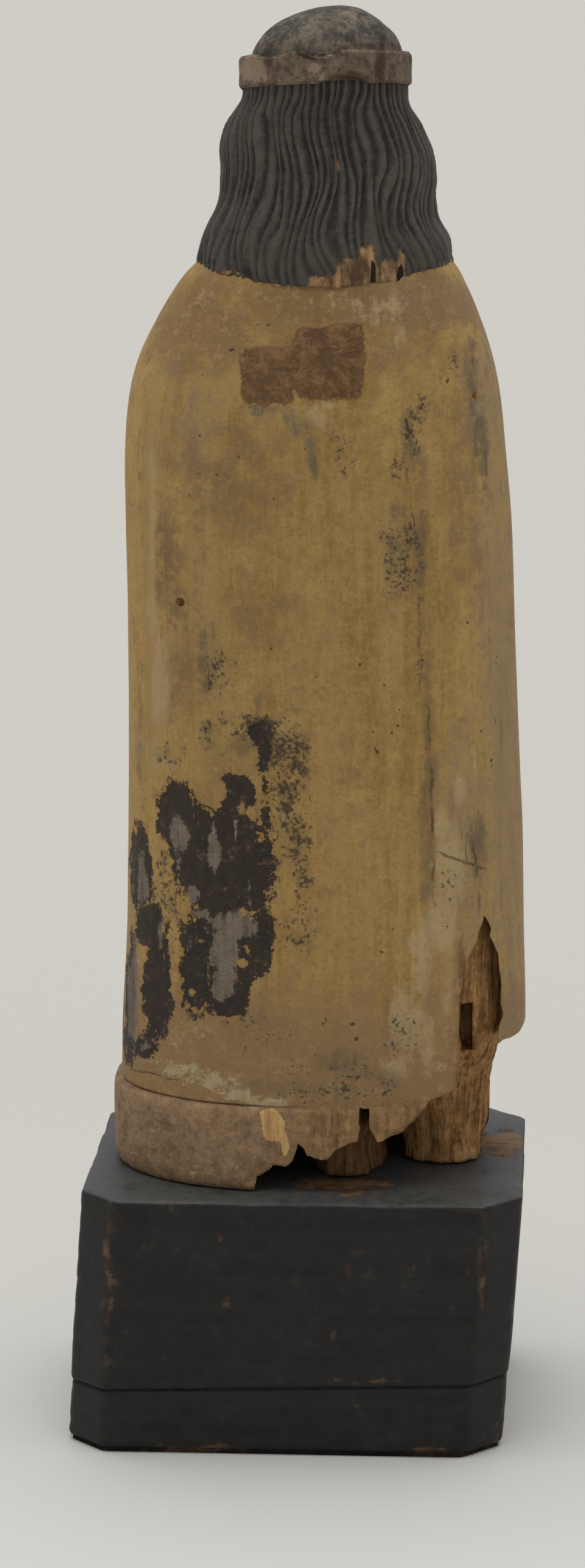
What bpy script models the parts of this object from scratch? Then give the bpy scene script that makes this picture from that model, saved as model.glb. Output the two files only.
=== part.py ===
# Carved wooden saint on a black plinth of two boards.
# Metres, +Z up. The saint looks along -Y, and its cloaked back faces +Y.
# A bearing is the angle round the figure from straight behind it. It grows towards -X.
import math

import bmesh
import bpy
from mathutils import Matrix, Vector

# Plinth
PLINTH_WIDTH = 0.1308
PLINTH_DEPTH = 0.106
PLINTH_CORNER_CUT = 0.011
BLOCK_HEIGHT = 0.057
BOARD_HEIGHT = 0.0207
# The saw cuts aren't square, so the top of the plinth lies this far towards -X of its foot.
PLINTH_LEAN = 0.0055
BOARD_SET_BACK = 0.0004
PLINTH_EDGE_ROUND = 0.0007

# Pieces that touch keep this gap.
JOINT_GAP = 0.0003

# The figure's forms are shares of its own height.
FIGURE_HEIGHT = 0.342
FLOOR_OF_FIGURE = BOARD_HEIGHT + JOINT_GAP + BLOCK_HEIGHT + JOINT_GAP

# Carved relief, in metres
STRAND_DEPTH = 0.0012
PLEAT_DEPTH = 0.0018
MANTLE_THICKNESS = 0.0028
NAIL_HOLE_RADIUS = 0.0014
NAIL_HOLE_DEPTH = 0.006

# Two columns of a head ring make one strand of hair. The robe's pleats need closer columns.
HEAD_COLUMNS = 96
BACK_COLUMNS = 48
ROBE_COLUMNS = 24
ROBE_HALF_ANGLE = math.radians(42)
CLOAK_ROWS = [
    0.084, 0.125, 0.190, 0.260, 0.330, 0.400, 0.470, 0.540, 0.600,
    0.650, 0.690, 0.720, 0.745, 0.770, 0.790, 0.815, 0.855,
]

# Height, centre towards +X, half width, reach behind, reach in front, all in shares.
BASE_FORM = [
    (0.000, -0.0145, 0.1755, 0.1245, 0.124),
    (0.010, -0.0145, 0.1785, 0.1265, 0.126),
    (0.066, -0.0145, 0.1790, 0.1250, 0.125),
    (0.0725, -0.0145, 0.1770, 0.1230, 0.123),
]
CLOAK_FORM = [
    (0.0745, -0.019, 0.1765, 0.120, 0.111),
    (0.123, -0.021, 0.1775, 0.119, 0.108),
    (0.210, -0.0225, 0.174, 0.117, 0.105),
    (0.304, -0.0225, 0.172, 0.116, 0.103),
    (0.386, -0.021, 0.1695, 0.114, 0.100),
    (0.483, -0.0193, 0.167, 0.112, 0.096),
    (0.561, -0.0175, 0.166, 0.110, 0.093),
    (0.626, -0.0146, 0.163, 0.106, 0.090),
    (0.673, -0.0143, 0.1585, 0.101, 0.085),
    (0.705, -0.0152, 0.151, 0.0965, 0.079),
    (0.734, -0.0175, 0.1395, 0.090, 0.071),
    (0.766, -0.0205, 0.1235, 0.082, 0.061),
    (0.787, -0.0237, 0.108, 0.075, 0.052),
    (0.808, -0.0240, 0.080, 0.060, 0.044),
    (0.826, -0.0245, 0.046, 0.040, 0.038),
    (0.855, -0.0250, 0.036, 0.036, 0.034),
]
HAIR_FORM = [
    (0.772, -0.0232, 0.1150, 0.0860, 0.062),
    (0.781, -0.0232, 0.1140, 0.0860, 0.062),
    (0.797, -0.0234, 0.1080, 0.0835, 0.062),
    (0.812, -0.0228, 0.1030, 0.0805, 0.063),
    (0.828, -0.0226, 0.0965, 0.0780, 0.064),
    (0.843, -0.0246, 0.0920, 0.0750, 0.065),
    (0.858, -0.0258, 0.0902, 0.0725, 0.066),
    (0.874, -0.0250, 0.0895, 0.0705, 0.066),
    (0.889, -0.0230, 0.0858, 0.0695, 0.065),
    (0.905, -0.0222, 0.0790, 0.0690, 0.063),
    (0.915, -0.0224, 0.0730, 0.0685, 0.062),
    (0.924, -0.0238, 0.0690, 0.0680, 0.061),
    (0.942, -0.0245, 0.0672, 0.0675, 0.061),
]
CAP_FORM = [
    (0.950, -0.0250, 0.0650, 0.0660, 0.060),
    (0.963, -0.0254, 0.0615, 0.0620, 0.056),
    (0.976, -0.0270, 0.0545, 0.0540, 0.049),
    (0.986, -0.0280, 0.0430, 0.0430, 0.039),
    (0.9935, -0.0305, 0.0300, 0.0300, 0.028),
    (0.9985, -0.0340, 0.0160, 0.0150, 0.015),
]
SECTION_SQUARENESS = 2.25
HEAD_AXIS_FORWARD = 0.004
HAIR_EDGE_LIFT = 0.011

# Height and reach of the face's middle line from the head's axis, in shares.
FACE_PROFILE = [
    (0.800, 0.035),
    (0.842, 0.036),
    (0.852, 0.045),
    (0.858, 0.061),
    (0.866, 0.063),
    (0.872, 0.061),
    (0.877, 0.063),
    (0.8815, 0.062),
    (0.888, 0.073),
    (0.900, 0.065),
    (0.909, 0.061),
    (0.917, 0.063),
    (0.942, 0.060),
]
# Rings of the head from chin to brow, closer together at the mouth, nose and eyes
FACE_ROWS = [
    0.846, 0.858, 0.867, 0.8715, 0.8745, 0.878, 0.884, 0.889,
    0.895, 0.900, 0.9045, 0.910, 0.919, 0.930, 0.942,
]
LOCK_ROWS = 5
FACE_HALF_ANGLE = math.radians(44)
HAIR_EDGE_ANGLE = math.radians(14)

# Band round the head
BAND_BOTTOM = 0.9315
BAND_TOP = 0.9590
BAND_HALF_WIDTH = 0.0737
BAND_BACK = 0.0765
BAND_FRONT = 0.0700
BAND_TILT = math.radians(5)
BAND_ROLL = math.radians(1.6)
BAND_FACETS = 14

# Broken edge of the shell, seen from behind: shares towards +X and up from the figure's floor.
BREAK_OUTLINE = [
    (0.033, -0.010),
    (0.031, 0.012),
    (0.017, 0.022),
    (0.000, 0.024),
    (-0.005, 0.041),
    (-0.013, 0.031),
    (-0.031, 0.029),
    (-0.056, 0.043),
    (-0.058, 0.073),
    (-0.066, 0.073),
    (-0.067, 0.045),
    (-0.090, 0.049),
    (-0.104, 0.060),
    (-0.124, 0.079),
    (-0.134, 0.082),
    (-0.1425, 0.102),
    (-0.1420, 0.165),
    (-0.153, 0.207),
    (-0.163, 0.233),
    (-0.173, 0.207),
    (-0.176, 0.160),
    (-0.1765, 0.119),
    (-0.199, 0.1265),
    (-0.240, 0.134),
    (-0.240, -0.010),
]
# The rot stops this far in front of the figure's axis.
BREAK_FRONT_STOP = -0.075
# Wood that still stands behind the lost shell, in the same order as the forms above.
CORE_FORM = [
    (0.0015, -0.125, 0.038, 0.036, 0.085),
    (0.040, -0.125, 0.041, 0.035, 0.085),
    (0.075, -0.122, 0.046, 0.042, 0.085),
    (0.105, -0.095, 0.082, 0.062, 0.085),
    (0.130, -0.060, 0.124, 0.082, 0.085),
    (0.165, -0.040, 0.146, 0.093, 0.085),
    (0.250, -0.035, 0.146, 0.098, 0.085),
]
STUB_FORM = [
    (0.0015, -0.043, 0.035, 0.082, 0.060),
    (0.030, -0.042, 0.033, 0.079, 0.060),
    (0.060, -0.044, 0.033, 0.084, 0.060),
    (0.110, -0.045, 0.028, 0.080, 0.060),
]
CORE_COLUMNS = 24
CORE_ROUGHNESS = 0.045
NAIL_HOLES = [(0.095, 0.506), (-0.153, 0.678)]

# Hands and sleeves, each point as shares towards +X, back and up.
ARMS_CENTRE = -0.0175
SLEEVE_ELBOW = (0.104, -0.042, 0.505)
SLEEVE_CUFF = (0.026, -0.088, 0.606)
SLEEVE_RADII = (0.038, 0.028)
HANDS_FOOT = (ARMS_CENTRE, -0.091, 0.605)
HANDS_TIP = (ARMS_CENTRE, -0.083, 0.708)
HANDS_HALF_THICKNESS = 0.015
HANDS_HALF_BREADTH = 0.022
SHOE_PLACE = (0.040, -0.098)
SHOE_SIZE = (0.022, 0.028, 0.019)


def clear_scene():
    for found in list(bpy.data.objects):
        bpy.data.objects.remove(found)


def painted(name, colour, roughness):
    material = bpy.data.materials.new(name)
    material.use_nodes = True
    shader = material.node_tree.nodes["Principled BSDF"]
    shader.inputs["Base Color"].default_value = (*colour, 1.0)
    shader.inputs["Roughness"].default_value = roughness
    shader.inputs["Metallic"].default_value = 0.0
    return material


def made_object(name, mesh, material=None, helper=False):
    made = bpy.data.objects.new(name, mesh)
    bpy.context.scene.collection.objects.link(made)
    if material:
        mesh.materials.append(material)
    if helper:
        made.hide_render = True
        made.display_type = "WIRE"
    return made


def smooth_step(low, high, value):
    share = min(1.0, max(0.0, (value - low) / (high - low)))
    return share * share * (3 - 2 * share)


def bell(value, centre, width):
    return math.exp(-(((value - centre) / width) ** 2))


def form_at(form, height):
    """The row of a form at this height, on a smooth curve through its rows."""
    last = len(form) - 1
    if height <= form[0][0]:
        return form[0][1:]
    if height >= form[last][0]:
        return form[last][1:]
    low = max(i for i in range(last) if form[i][0] <= height)
    span = form[low + 1][0] - form[low][0]
    t = (height - form[low][0]) / span

    def slope(i, k):
        before, after = max(i - 1, 0), min(i + 1, last)
        return (form[after][k] - form[before][k]) / (form[after][0] - form[before][0])

    values = []
    for k in range(1, len(form[0])):
        start, end = form[low][k], form[low + 1][k]
        rise = slope(low, k) * span
        fall = slope(low + 1, k) * span
        values.append(
            (2 * t**3 - 3 * t**2 + 1) * start
            + (t**3 - 2 * t**2 + t) * rise
            + (3 * t**2 - 2 * t**3) * end
            + (t**3 - t**2) * fall
        )
    return values


def section_reach(bearing, half_width, back, front):
    """Distance from the axis to a rounded section in the direction of the bearing."""
    depth = back if math.cos(bearing) > 0 else front
    across = (abs(math.sin(bearing)) / half_width) ** SECTION_SQUARENESS
    along = (abs(math.cos(bearing)) / depth) ** SECTION_SQUARENESS
    return (across + along) ** (-1 / SECTION_SQUARENESS)


def cloak_fold(degrees, height):
    """Shallow folds of the cloak's back and sides, in shares of the figure's height."""
    lower = 1 - smooth_step(0.30, 0.62, height)
    side = bell(height, 0.45, 0.30)
    fold = -0.0050 * bell(degrees, 41, 9) * lower
    fold += 0.0030 * bell(degrees, 56, 10) * lower
    fold -= 0.0028 * bell(degrees, 72, 8) * side
    fold -= 0.0026 * bell(degrees, -58, 9) * side
    fold += 0.0022 * bell(degrees, -42, 10) * side
    return fold


def mantle_step(degrees, height):
    """Moves the robe back between the mantle's front edges, and folds both."""
    turn = abs(degrees)
    edge = 140 + 10 * height / 0.78
    inside = smooth_step(edge - 1, edge + 4, turn)
    below_neck = 1 - smooth_step(0.745, 0.785, height)
    on_cloak = smooth_step(0.0735, 0.075, height)
    pleats = math.cos(math.radians(degrees) * 36) * inside * (1 - smooth_step(0.56, 0.70, height))
    broad = math.cos(math.radians(turn - edge) * 12) * smooth_step(88, 104, turn) * (1 - inside)
    step = -MANTLE_THICKNESS * inside * below_neck
    step += PLEAT_DEPTH * (0.5 * pleats + 0.5 * broad * below_neck)
    return step * on_cloak


def body_point(height, bearing):
    form = BASE_FORM if height < CLOAK_FORM[0][0] else CLOAK_FORM
    centre, half_width, back, front = form_at(form, height)
    reach = section_reach(bearing, half_width, back, front)
    degrees = math.degrees(bearing)
    if form is CLOAK_FORM:
        reach += cloak_fold(degrees, height)
    reach = reach * FIGURE_HEIGHT + mantle_step(degrees, height)
    return (
        centre * FIGURE_HEIGHT - reach * math.sin(bearing),
        reach * math.cos(bearing),
        FLOOR_OF_FIGURE + height * FIGURE_HEIGHT,
    )


def head_flow(bearing, height):
    """How far a strand drifts round the head at this height, so that the hair waves."""
    drop = (0.935 - height) / 0.16
    wave = math.sin(2 * math.pi * (drop * 1.15 + 0.10 + 0.12 * math.sin(2 * bearing)))
    on_hair = smooth_step(0.0, 0.15, drop)
    behind = 1 - smooth_step(math.radians(95), math.radians(130), abs(bearing))
    return math.radians(3.6) * wave * on_hair * behind


def head_reach(bearing, height, column):
    """Distance from the head's axis to hair, cap or face, in metres."""
    form = CAP_FORM if height >= CAP_FORM[0][0] else HAIR_FORM
    centre, half_width, back, front = form_at(form, height)
    hair = section_reach(bearing, half_width, back, front) * FIGURE_HEIGHT
    ridge = 0.5 if column % 2 else -0.5
    relief = STRAND_DEPTH if height < BAND_BOTTOM else 0.5 * STRAND_DEPTH
    hair += ridge * relief * (1 - smooth_step(0.985, 0.998, height))
    from_front = math.pi - abs(bearing)
    if height >= CAP_FORM[0][0] or from_front > FACE_HALF_ANGLE + HAIR_EDGE_ANGLE:
        return centre, hair
    hairline = smooth_step(FACE_HALF_ANGLE, FACE_HALF_ANGLE + HAIR_EDGE_ANGLE, from_front)
    return centre, hair * hairline + face_reach(from_front, height) * (1 - hairline)


def face_reach(from_front, height):
    """Plain oval face: the middle line's profile, eased back towards the ears."""
    middle = form_at(FACE_PROFILE, height)[0]
    ground = min(middle, 0.0615)
    on_face = smooth_step(0.850, 0.862, height)
    degrees = math.degrees(from_front)
    cheek = 0.0035 * bell(degrees, 27, 11) * bell(height, 0.884, 0.012)
    socket = 0.0040 * bell(degrees, 17, 7) * bell(height, 0.9025, 0.0055)
    lids = 0.0022 * bell(degrees, 17, 5) * bell(height, 0.9015, 0.0035)
    nose_width = 5 + 3 * bell(height, 0.888, 0.006)
    ridge = (middle - ground) * bell(degrees, 0, nose_width)
    mouth = -0.0012 * bell(degrees, 0, 11) * bell(height, 0.8735, 0.0018)
    jaw = 0.010 * smooth_step(20, 44, degrees) * (1 - smooth_step(0.862, 0.890, height)) * on_face
    reach = ground + ridge + on_face * (cheek - socket + lids + mouth) - jaw
    return reach * FIGURE_HEIGHT


def head_point(height, bearing, column):
    turned = bearing + head_flow(bearing, height)
    centre, reach = head_reach(turned, height, column)
    # The hair ends lower behind than at the sides.
    lift = HAIR_EDGE_LIFT * math.sin(turned) ** 2 * (1 - smooth_step(HAIR_FORM[0][0], 0.84, height))
    return (
        centre * FIGURE_HEIGHT - reach * math.sin(turned),
        reach * math.cos(turned) - HEAD_AXIS_FORWARD * FIGURE_HEIGHT,
        FLOOR_OF_FIGURE + (height + lift) * FIGURE_HEIGHT,
    )


def lofted_mesh(name, rings, top_point=None):
    """Closed mesh through rings of points, flat below, and flat or pointed above."""
    made = bmesh.new()
    loops = [[made.verts.new(point) for point in ring] for ring in rings]
    for lower, upper in zip(loops, loops[1:]):
        for i in range(len(lower)):
            j = (i + 1) % len(lower)
            made.faces.new((lower[i], lower[j], upper[j], upper[i]))
    made.faces.new(reversed(loops[0]))
    if top_point:
        tip = made.verts.new(top_point)
        for i, corner in enumerate(loops[-1]):
            made.faces.new((corner, loops[-1][(i + 1) % len(loops[-1])], tip))
    else:
        made.faces.new(loops[-1])
    bmesh.ops.recalc_face_normals(made, faces=made.faces)
    mesh = bpy.data.meshes.new(name)
    made.to_mesh(mesh)
    made.free()
    return mesh


def bearings(count):
    """Evenly spaced bearings. Rings run the same way round for every loft."""
    return [math.pi - 2 * math.pi * i / count for i in range(count)]


def body_bearings():
    """Bearings for the body, closer together across the robe in front."""
    robe = [ROBE_HALF_ANGLE * (1 - 2 * i / ROBE_COLUMNS) for i in range(ROBE_COLUMNS)]
    back_span = 2 * (math.pi - ROBE_HALF_ANGLE)
    back = [-ROBE_HALF_ANGLE - back_span * i / BACK_COLUMNS for i in range(BACK_COLUMNS)]
    turns = [turn + math.pi for turn in robe + back]
    return [(turn + math.pi) % (2 * math.pi) - math.pi for turn in turns]


def body_mesh():
    turns = body_bearings()
    rows = [row[0] for row in BASE_FORM] + [CLOAK_FORM[0][0]] + CLOAK_ROWS
    rings = [[body_point(height, turn) for turn in turns] for height in rows]
    return lofted_mesh("body", rings)


def head_mesh():
    turns = bearings(HEAD_COLUMNS)
    low, chin = HAIR_FORM[0][0], FACE_ROWS[0]
    rows = [low + (chin - low) * i / LOCK_ROWS for i in range(LOCK_ROWS)]
    rows += FACE_ROWS
    rows += [row[0] for row in CAP_FORM]
    rings = [[head_point(h, turn, i) for i, turn in enumerate(turns)] for h in rows]
    crown = CAP_FORM[-1][1] * FIGURE_HEIGHT
    forward = -HEAD_AXIS_FORWARD * FIGURE_HEIGHT
    return lofted_mesh("head", rings, (crown, forward, FLOOR_OF_FIGURE + FIGURE_HEIGHT))


def band_mesh():
    """Faceted ring of wood round the head, a little higher behind and towards -X."""
    profile = [(BAND_BOTTOM, 0.985), (BAND_BOTTOM + 0.003, 1.0), (BAND_TOP - 0.002, 1.0), (BAND_TOP, 0.98)]
    centre = form_at(HAIR_FORM, BAND_BOTTOM)[0] * FIGURE_HEIGHT
    rings = []
    for height, grow in profile:
        ring = []
        for turn in bearings(BAND_FACETS):
            reach = section_reach(turn, BAND_HALF_WIDTH, BAND_BACK, BAND_FRONT) * FIGURE_HEIGHT * grow
            y = reach * math.cos(turn)
            across = -reach * math.sin(turn)
            z = FLOOR_OF_FIGURE + height * FIGURE_HEIGHT
            z += y * math.tan(BAND_TILT) - across * math.tan(BAND_ROLL)
            ring.append((centre + across, y - HEAD_AXIS_FORWARD * FIGURE_HEIGHT, z))
        rings.append(ring)
    return lofted_mesh("band", rings)


def rough_wood_mesh(name, form):
    """Loft of a form whose reach wavers from side to side, as rotten wood does."""
    rings = []
    for height, centre, half_width, back, front in form:
        ring = []
        for turn in bearings(CORE_COLUMNS):
            waver = math.sin(5 * turn + 70 * height) + 0.6 * math.sin(9 * turn - 40 * height)
            reach = section_reach(turn, half_width, back, front) * FIGURE_HEIGHT
            reach *= 1 + CORE_ROUGHNESS * waver
            ring.append((
                centre * FIGURE_HEIGHT - reach * math.sin(turn),
                reach * math.cos(turn),
                FLOOR_OF_FIGURE + height * FIGURE_HEIGHT,
            ))
        rings.append(ring)
    return lofted_mesh(name, rings)


def break_mesh():
    """Prism of the broken outline, from behind the figure to where the rot stops."""
    behind = (CLOAK_FORM[0][3] + 0.05) * FIGURE_HEIGHT
    stop = BREAK_FRONT_STOP * FIGURE_HEIGHT
    rings = []
    for y in (behind, stop):
        ring = [(x * FIGURE_HEIGHT, y, FLOOR_OF_FIGURE + z * FIGURE_HEIGHT) for x, z in BREAK_OUTLINE]
        rings.append(ring)
    return lofted_mesh("break", rings)


def surface_point(x_share, height):
    """Where the cloak's back lies at this place across and up."""
    centre, half_width, back, front = form_at(CLOAK_FORM, height)
    share = min(1.0, abs(x_share - centre) / half_width)
    y = back * (1 - share**SECTION_SQUARENESS) ** (1 / SECTION_SQUARENESS)
    return Vector((x_share, y, height)) * FIGURE_HEIGHT + Vector((0, 0, FLOOR_OF_FIGURE))


def nail_hole_mesh(place):
    made = bmesh.new()
    bmesh.ops.create_cone(
        made,
        cap_ends=True,
        segments=8,
        radius1=NAIL_HOLE_RADIUS,
        radius2=NAIL_HOLE_RADIUS,
        depth=2 * NAIL_HOLE_DEPTH,
        matrix=Matrix.Translation(surface_point(*place)) @ Matrix.Rotation(math.pi / 2, 4, "X"),
    )
    mesh = bpy.data.meshes.new("nail_hole")
    made.to_mesh(mesh)
    made.free()
    return mesh


def in_figure(place):
    """A point given in shares, in metres."""
    return Vector(place) * FIGURE_HEIGHT + Vector((0, 0, FLOOR_OF_FIGURE))


def limb_mesh(name, start, end, sections, sides=12):
    """Loft along a line: each section is a share of the way, a half width and a half depth in shares."""
    along = (in_figure(end) - in_figure(start)).normalized()
    side = along.cross(Vector((0, 1, 0))).normalized()
    depth = side.cross(along)
    rings = []
    for share, half_width, half_depth in sections:
        middle = in_figure(start).lerp(in_figure(end), share)
        ring = []
        for i in range(sides):
            turn = 2 * math.pi * i / sides
            across = side * (half_width * math.cos(turn)) + depth * (half_depth * math.sin(turn))
            ring.append(middle + across * FIGURE_HEIGHT)
        rings.append(ring)
    return lofted_mesh(name, rings)


def sleeve_mesh(side):
    """Wide sleeve from the elbow to the cuff. side is 1 towards +X and -1 towards -X."""
    elbow, cuff = SLEEVE_RADII
    start = (ARMS_CENTRE + side * SLEEVE_ELBOW[0], *SLEEVE_ELBOW[1:])
    end = (ARMS_CENTRE + side * SLEEVE_CUFF[0], *SLEEVE_CUFF[1:])
    sections = [
        (0.0, elbow, elbow),
        (0.55, elbow, 0.9 * elbow),
        (0.93, cuff, cuff),
        (1.0, 0.85 * cuff, 0.85 * cuff),
    ]
    return limb_mesh("sleeve", start, end, sections)


def hands_mesh():
    """Two hands laid palm to palm, fingers up."""
    thick, broad = HANDS_HALF_THICKNESS, HANDS_HALF_BREADTH
    sections = [
        (-0.25, 0.95 * thick, 0.80 * broad),
        (0.0, thick, 0.85 * broad),
        (0.30, thick, broad),
        (0.55, 0.9 * thick, 0.95 * broad),
        (0.85, 0.75 * thick, 0.75 * broad),
        (1.0, 0.40 * thick, 0.35 * broad),
    ]
    return limb_mesh("hands", HANDS_FOOT, HANDS_TIP, sections)


def shoe_mesh(side):
    """Rounded toe that looks out from under the robe."""
    x, y = SHOE_PLACE
    place = (side * x + CLOAK_FORM[0][1], y, BASE_FORM[-1][0])
    made = bmesh.new()
    bmesh.ops.create_icosphere(made, subdivisions=2, radius=1.0)
    size = Matrix.Diagonal((*[part * FIGURE_HEIGHT for part in SHOE_SIZE], 1.0))
    bmesh.ops.transform(made, matrix=Matrix.Translation(in_figure(place)) @ size, verts=made.verts)
    mesh = bpy.data.meshes.new("shoe")
    made.to_mesh(mesh)
    made.free()
    return mesh


def combine(target, helper, operation):
    change = target.modifiers.new(f"{operation.lower()}_{helper.name}", "BOOLEAN")
    change.operation = operation
    change.object = helper


def build_figure(material):
    figure = made_object("saint_figure", body_mesh(), material)
    combine(figure, made_object("break_cutter", break_mesh(), helper=True), "DIFFERENCE")
    combine(figure, made_object("core", rough_wood_mesh("core", CORE_FORM), helper=True), "UNION")
    combine(figure, made_object("stub", rough_wood_mesh("stub", STUB_FORM), helper=True), "UNION")
    for place in NAIL_HOLES:
        combine(figure, made_object("nail_hole", nail_hole_mesh(place), helper=True), "DIFFERENCE")
    for side in (1, -1):
        combine(figure, made_object("shoe", shoe_mesh(side), helper=True), "UNION")
        combine(figure, made_object("sleeve", sleeve_mesh(side), helper=True), "UNION")
    combine(figure, made_object("hands", hands_mesh(), helper=True), "UNION")
    combine(figure, made_object("head_and_hair", head_mesh(), helper=True), "UNION")
    combine(figure, made_object("head_band", band_mesh(), helper=True), "UNION")
    return figure


def plinth_outline(height):
    """The eight corners of the plinth at a height above its foot."""
    total = BOARD_HEIGHT + JOINT_GAP + BLOCK_HEIGHT
    shift = PLINTH_LEAN * (0.5 - height / total)
    x, y, cut = PLINTH_WIDTH / 2, PLINTH_DEPTH / 2, PLINTH_CORNER_CUT
    corners = [
        (-x + cut, -y), (x - cut, -y), (x, -y + cut), (x, y - cut),
        (x - cut, y), (-x + cut, y), (-x, y - cut), (-x, -y + cut),
    ]
    return [(px + shift, py) for px, py in corners]


def build_plinth_piece(name, bottom, top, set_back, material):
    rings = []
    for height in (bottom, top):
        ring = []
        for x, y in plinth_outline(height):
            ring.append((x - math.copysign(set_back, x), y - math.copysign(set_back, y), height))
        rings.append(ring)
    piece = made_object(name, lofted_mesh(name, rings), material)
    rounding = piece.modifiers.new("worn_edges", "BEVEL")
    rounding.width = PLINTH_EDGE_ROUND
    rounding.segments = 1
    return piece


def main():
    clear_scene()
    figure_paint = painted("aged_polychrome_wood", (0.225, 0.145, 0.055), 0.75)
    plinth_paint = painted("black_painted_wood", (0.022, 0.021, 0.019), 0.6)
    build_figure(figure_paint)
    block_bottom = BOARD_HEIGHT + JOINT_GAP
    build_plinth_piece("plinth_board", 0.0, BOARD_HEIGHT, BOARD_SET_BACK, plinth_paint)
    build_plinth_piece("plinth_block", block_bottom, block_bottom + BLOCK_HEIGHT, 0.0, plinth_paint)


main()
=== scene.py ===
# Carved wooden saint on its black plinth: the looks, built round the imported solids.
# A bearing is the angle round the figure from straight behind it, growing towards -X.
import bpy
import math
import numpy as np
from mathutils import Matrix, Vector


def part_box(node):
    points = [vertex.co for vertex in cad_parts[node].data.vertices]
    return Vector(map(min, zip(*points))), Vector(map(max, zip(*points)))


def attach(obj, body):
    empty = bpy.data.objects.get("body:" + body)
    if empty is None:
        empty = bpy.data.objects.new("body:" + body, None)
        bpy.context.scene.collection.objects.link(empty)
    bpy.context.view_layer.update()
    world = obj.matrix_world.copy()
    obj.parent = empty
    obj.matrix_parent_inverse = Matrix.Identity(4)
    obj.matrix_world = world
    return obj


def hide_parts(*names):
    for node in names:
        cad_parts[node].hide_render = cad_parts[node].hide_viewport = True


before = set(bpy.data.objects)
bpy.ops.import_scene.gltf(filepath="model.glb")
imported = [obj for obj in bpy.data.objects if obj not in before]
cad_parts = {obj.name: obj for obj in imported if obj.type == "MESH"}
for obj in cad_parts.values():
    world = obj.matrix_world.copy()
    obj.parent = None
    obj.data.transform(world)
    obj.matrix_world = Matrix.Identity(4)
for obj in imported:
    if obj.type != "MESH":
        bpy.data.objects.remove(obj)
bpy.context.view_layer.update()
figureLow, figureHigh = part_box("saint_figure")
blockLow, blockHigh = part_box("plinth_block")
boardLow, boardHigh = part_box("plinth_board")
floorZ = figureLow.z
tall = figureHigh.z - figureLow.z
print("frame loaded, figure", round(tall * 1000, 1), "mm tall")


# Camera and light

camera = {
    "at": (-0.075, 1.242, 0.450),
    "turn": math.radians(3.55),      # away from straight at the figure's back
    "down": math.radians(11.72),
    "roll": math.radians(-0.22),
    "focal": 7000,                   # in pixels of the photo
    "photo": (961, 2576),
}


def cameraAxes():
    turn, down = camera["turn"], camera["down"]
    ahead = Vector((math.sin(turn) * math.cos(down), -math.cos(turn) * math.cos(down), -math.sin(down)))
    right = Vector((-math.cos(turn), -math.sin(turn), 0))
    return ahead, right, right.cross(ahead)


def addCamera():
    ahead, right, up = cameraAxes()
    data = bpy.data.cameras.new("photoCamera")
    data.sensor_width = 36
    data.lens = camera["focal"] * data.sensor_width / camera["photo"][1]
    data.clip_end = 100
    holder = bpy.data.objects.new("photoCamera", data)
    bpy.context.scene.collection.objects.link(holder)
    turned = Matrix((right, up, -ahead)).transposed().to_4x4()
    roll = Matrix.Rotation(camera["roll"], 4, "Z")
    holder.matrix_world = Matrix.Translation(camera["at"]) @ turned @ roll
    bpy.context.scene.camera = holder


# Photo pixels of points in the row frame.
def photoPixels(points):
    ahead, right, up = cameraAxes()
    away = points - np.array(camera["at"])
    depth = away @ np.array(ahead)
    width, height = camera["photo"]
    across = camera["focal"] * (away @ np.array(right)) / depth
    above = camera["focal"] * (away @ np.array(up)) / depth
    roll = camera["roll"]
    px = width / 2 + across * math.cos(roll) + above * math.sin(roll)
    py = height / 2 - above * math.cos(roll) + across * math.sin(roll)
    return px, py


light = {
    "sky": (0.93, 0.95, 1.0),
    "skyPower": 0.68,
    "sunPower": 2.05,
    "sunSpread": math.radians(62),
    "sunFrom": (0.05, -0.04, 1.0),
    # The floor is painted darker far off and lighter near the figure: painted shade and painted light across
    # it.
    "floorFarPaintedShade": (0.468, 0.450, 0.400),
    "floorNearPaintedLight": (0.572, 0.564, 0.527),
    "floorFade": (-0.4, 0.45),       # where the floor goes from one to the other
    "floorSize": 60,
}


def addStage():
    world = bpy.data.worlds.new("studio")
    bpy.context.scene.world = world
    world.use_nodes = True
    sky = world.node_tree.nodes["Background"]
    sky.inputs["Color"].default_value = (*light["sky"], 1)
    sky.inputs["Strength"].default_value = light["skyPower"]
    sun = bpy.data.lights.new("softSun", "SUN")
    sun.energy = light["sunPower"]
    sun.angle = light["sunSpread"]
    holder = bpy.data.objects.new("softSun", sun)
    bpy.context.scene.collection.objects.link(holder)
    holder.rotation_euler = Vector(light["sunFrom"]).to_track_quat("Z", "Y").to_euler()
    bpy.ops.mesh.primitive_plane_add(size=light["floorSize"])
    floor = bpy.context.object
    floor.name = "floor"
    paint = Board("paleFloor")
    # Painted shade far off, painted light near the figure.
    share = paint.axes()[1].ramp(*light["floorFade"])
    paint.feed("Base Color", paint.mix(share, light["floorFarPaintedShade"], light["floorNearPaintedLight"]))
    paint.feed("Roughness", 0.9)
    floor.data.materials.append(paint.material)
    bpy.context.scene.view_settings.view_transform = "Standard"


# Shader maths: a wire is a socket that can be added, multiplied and so on

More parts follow.
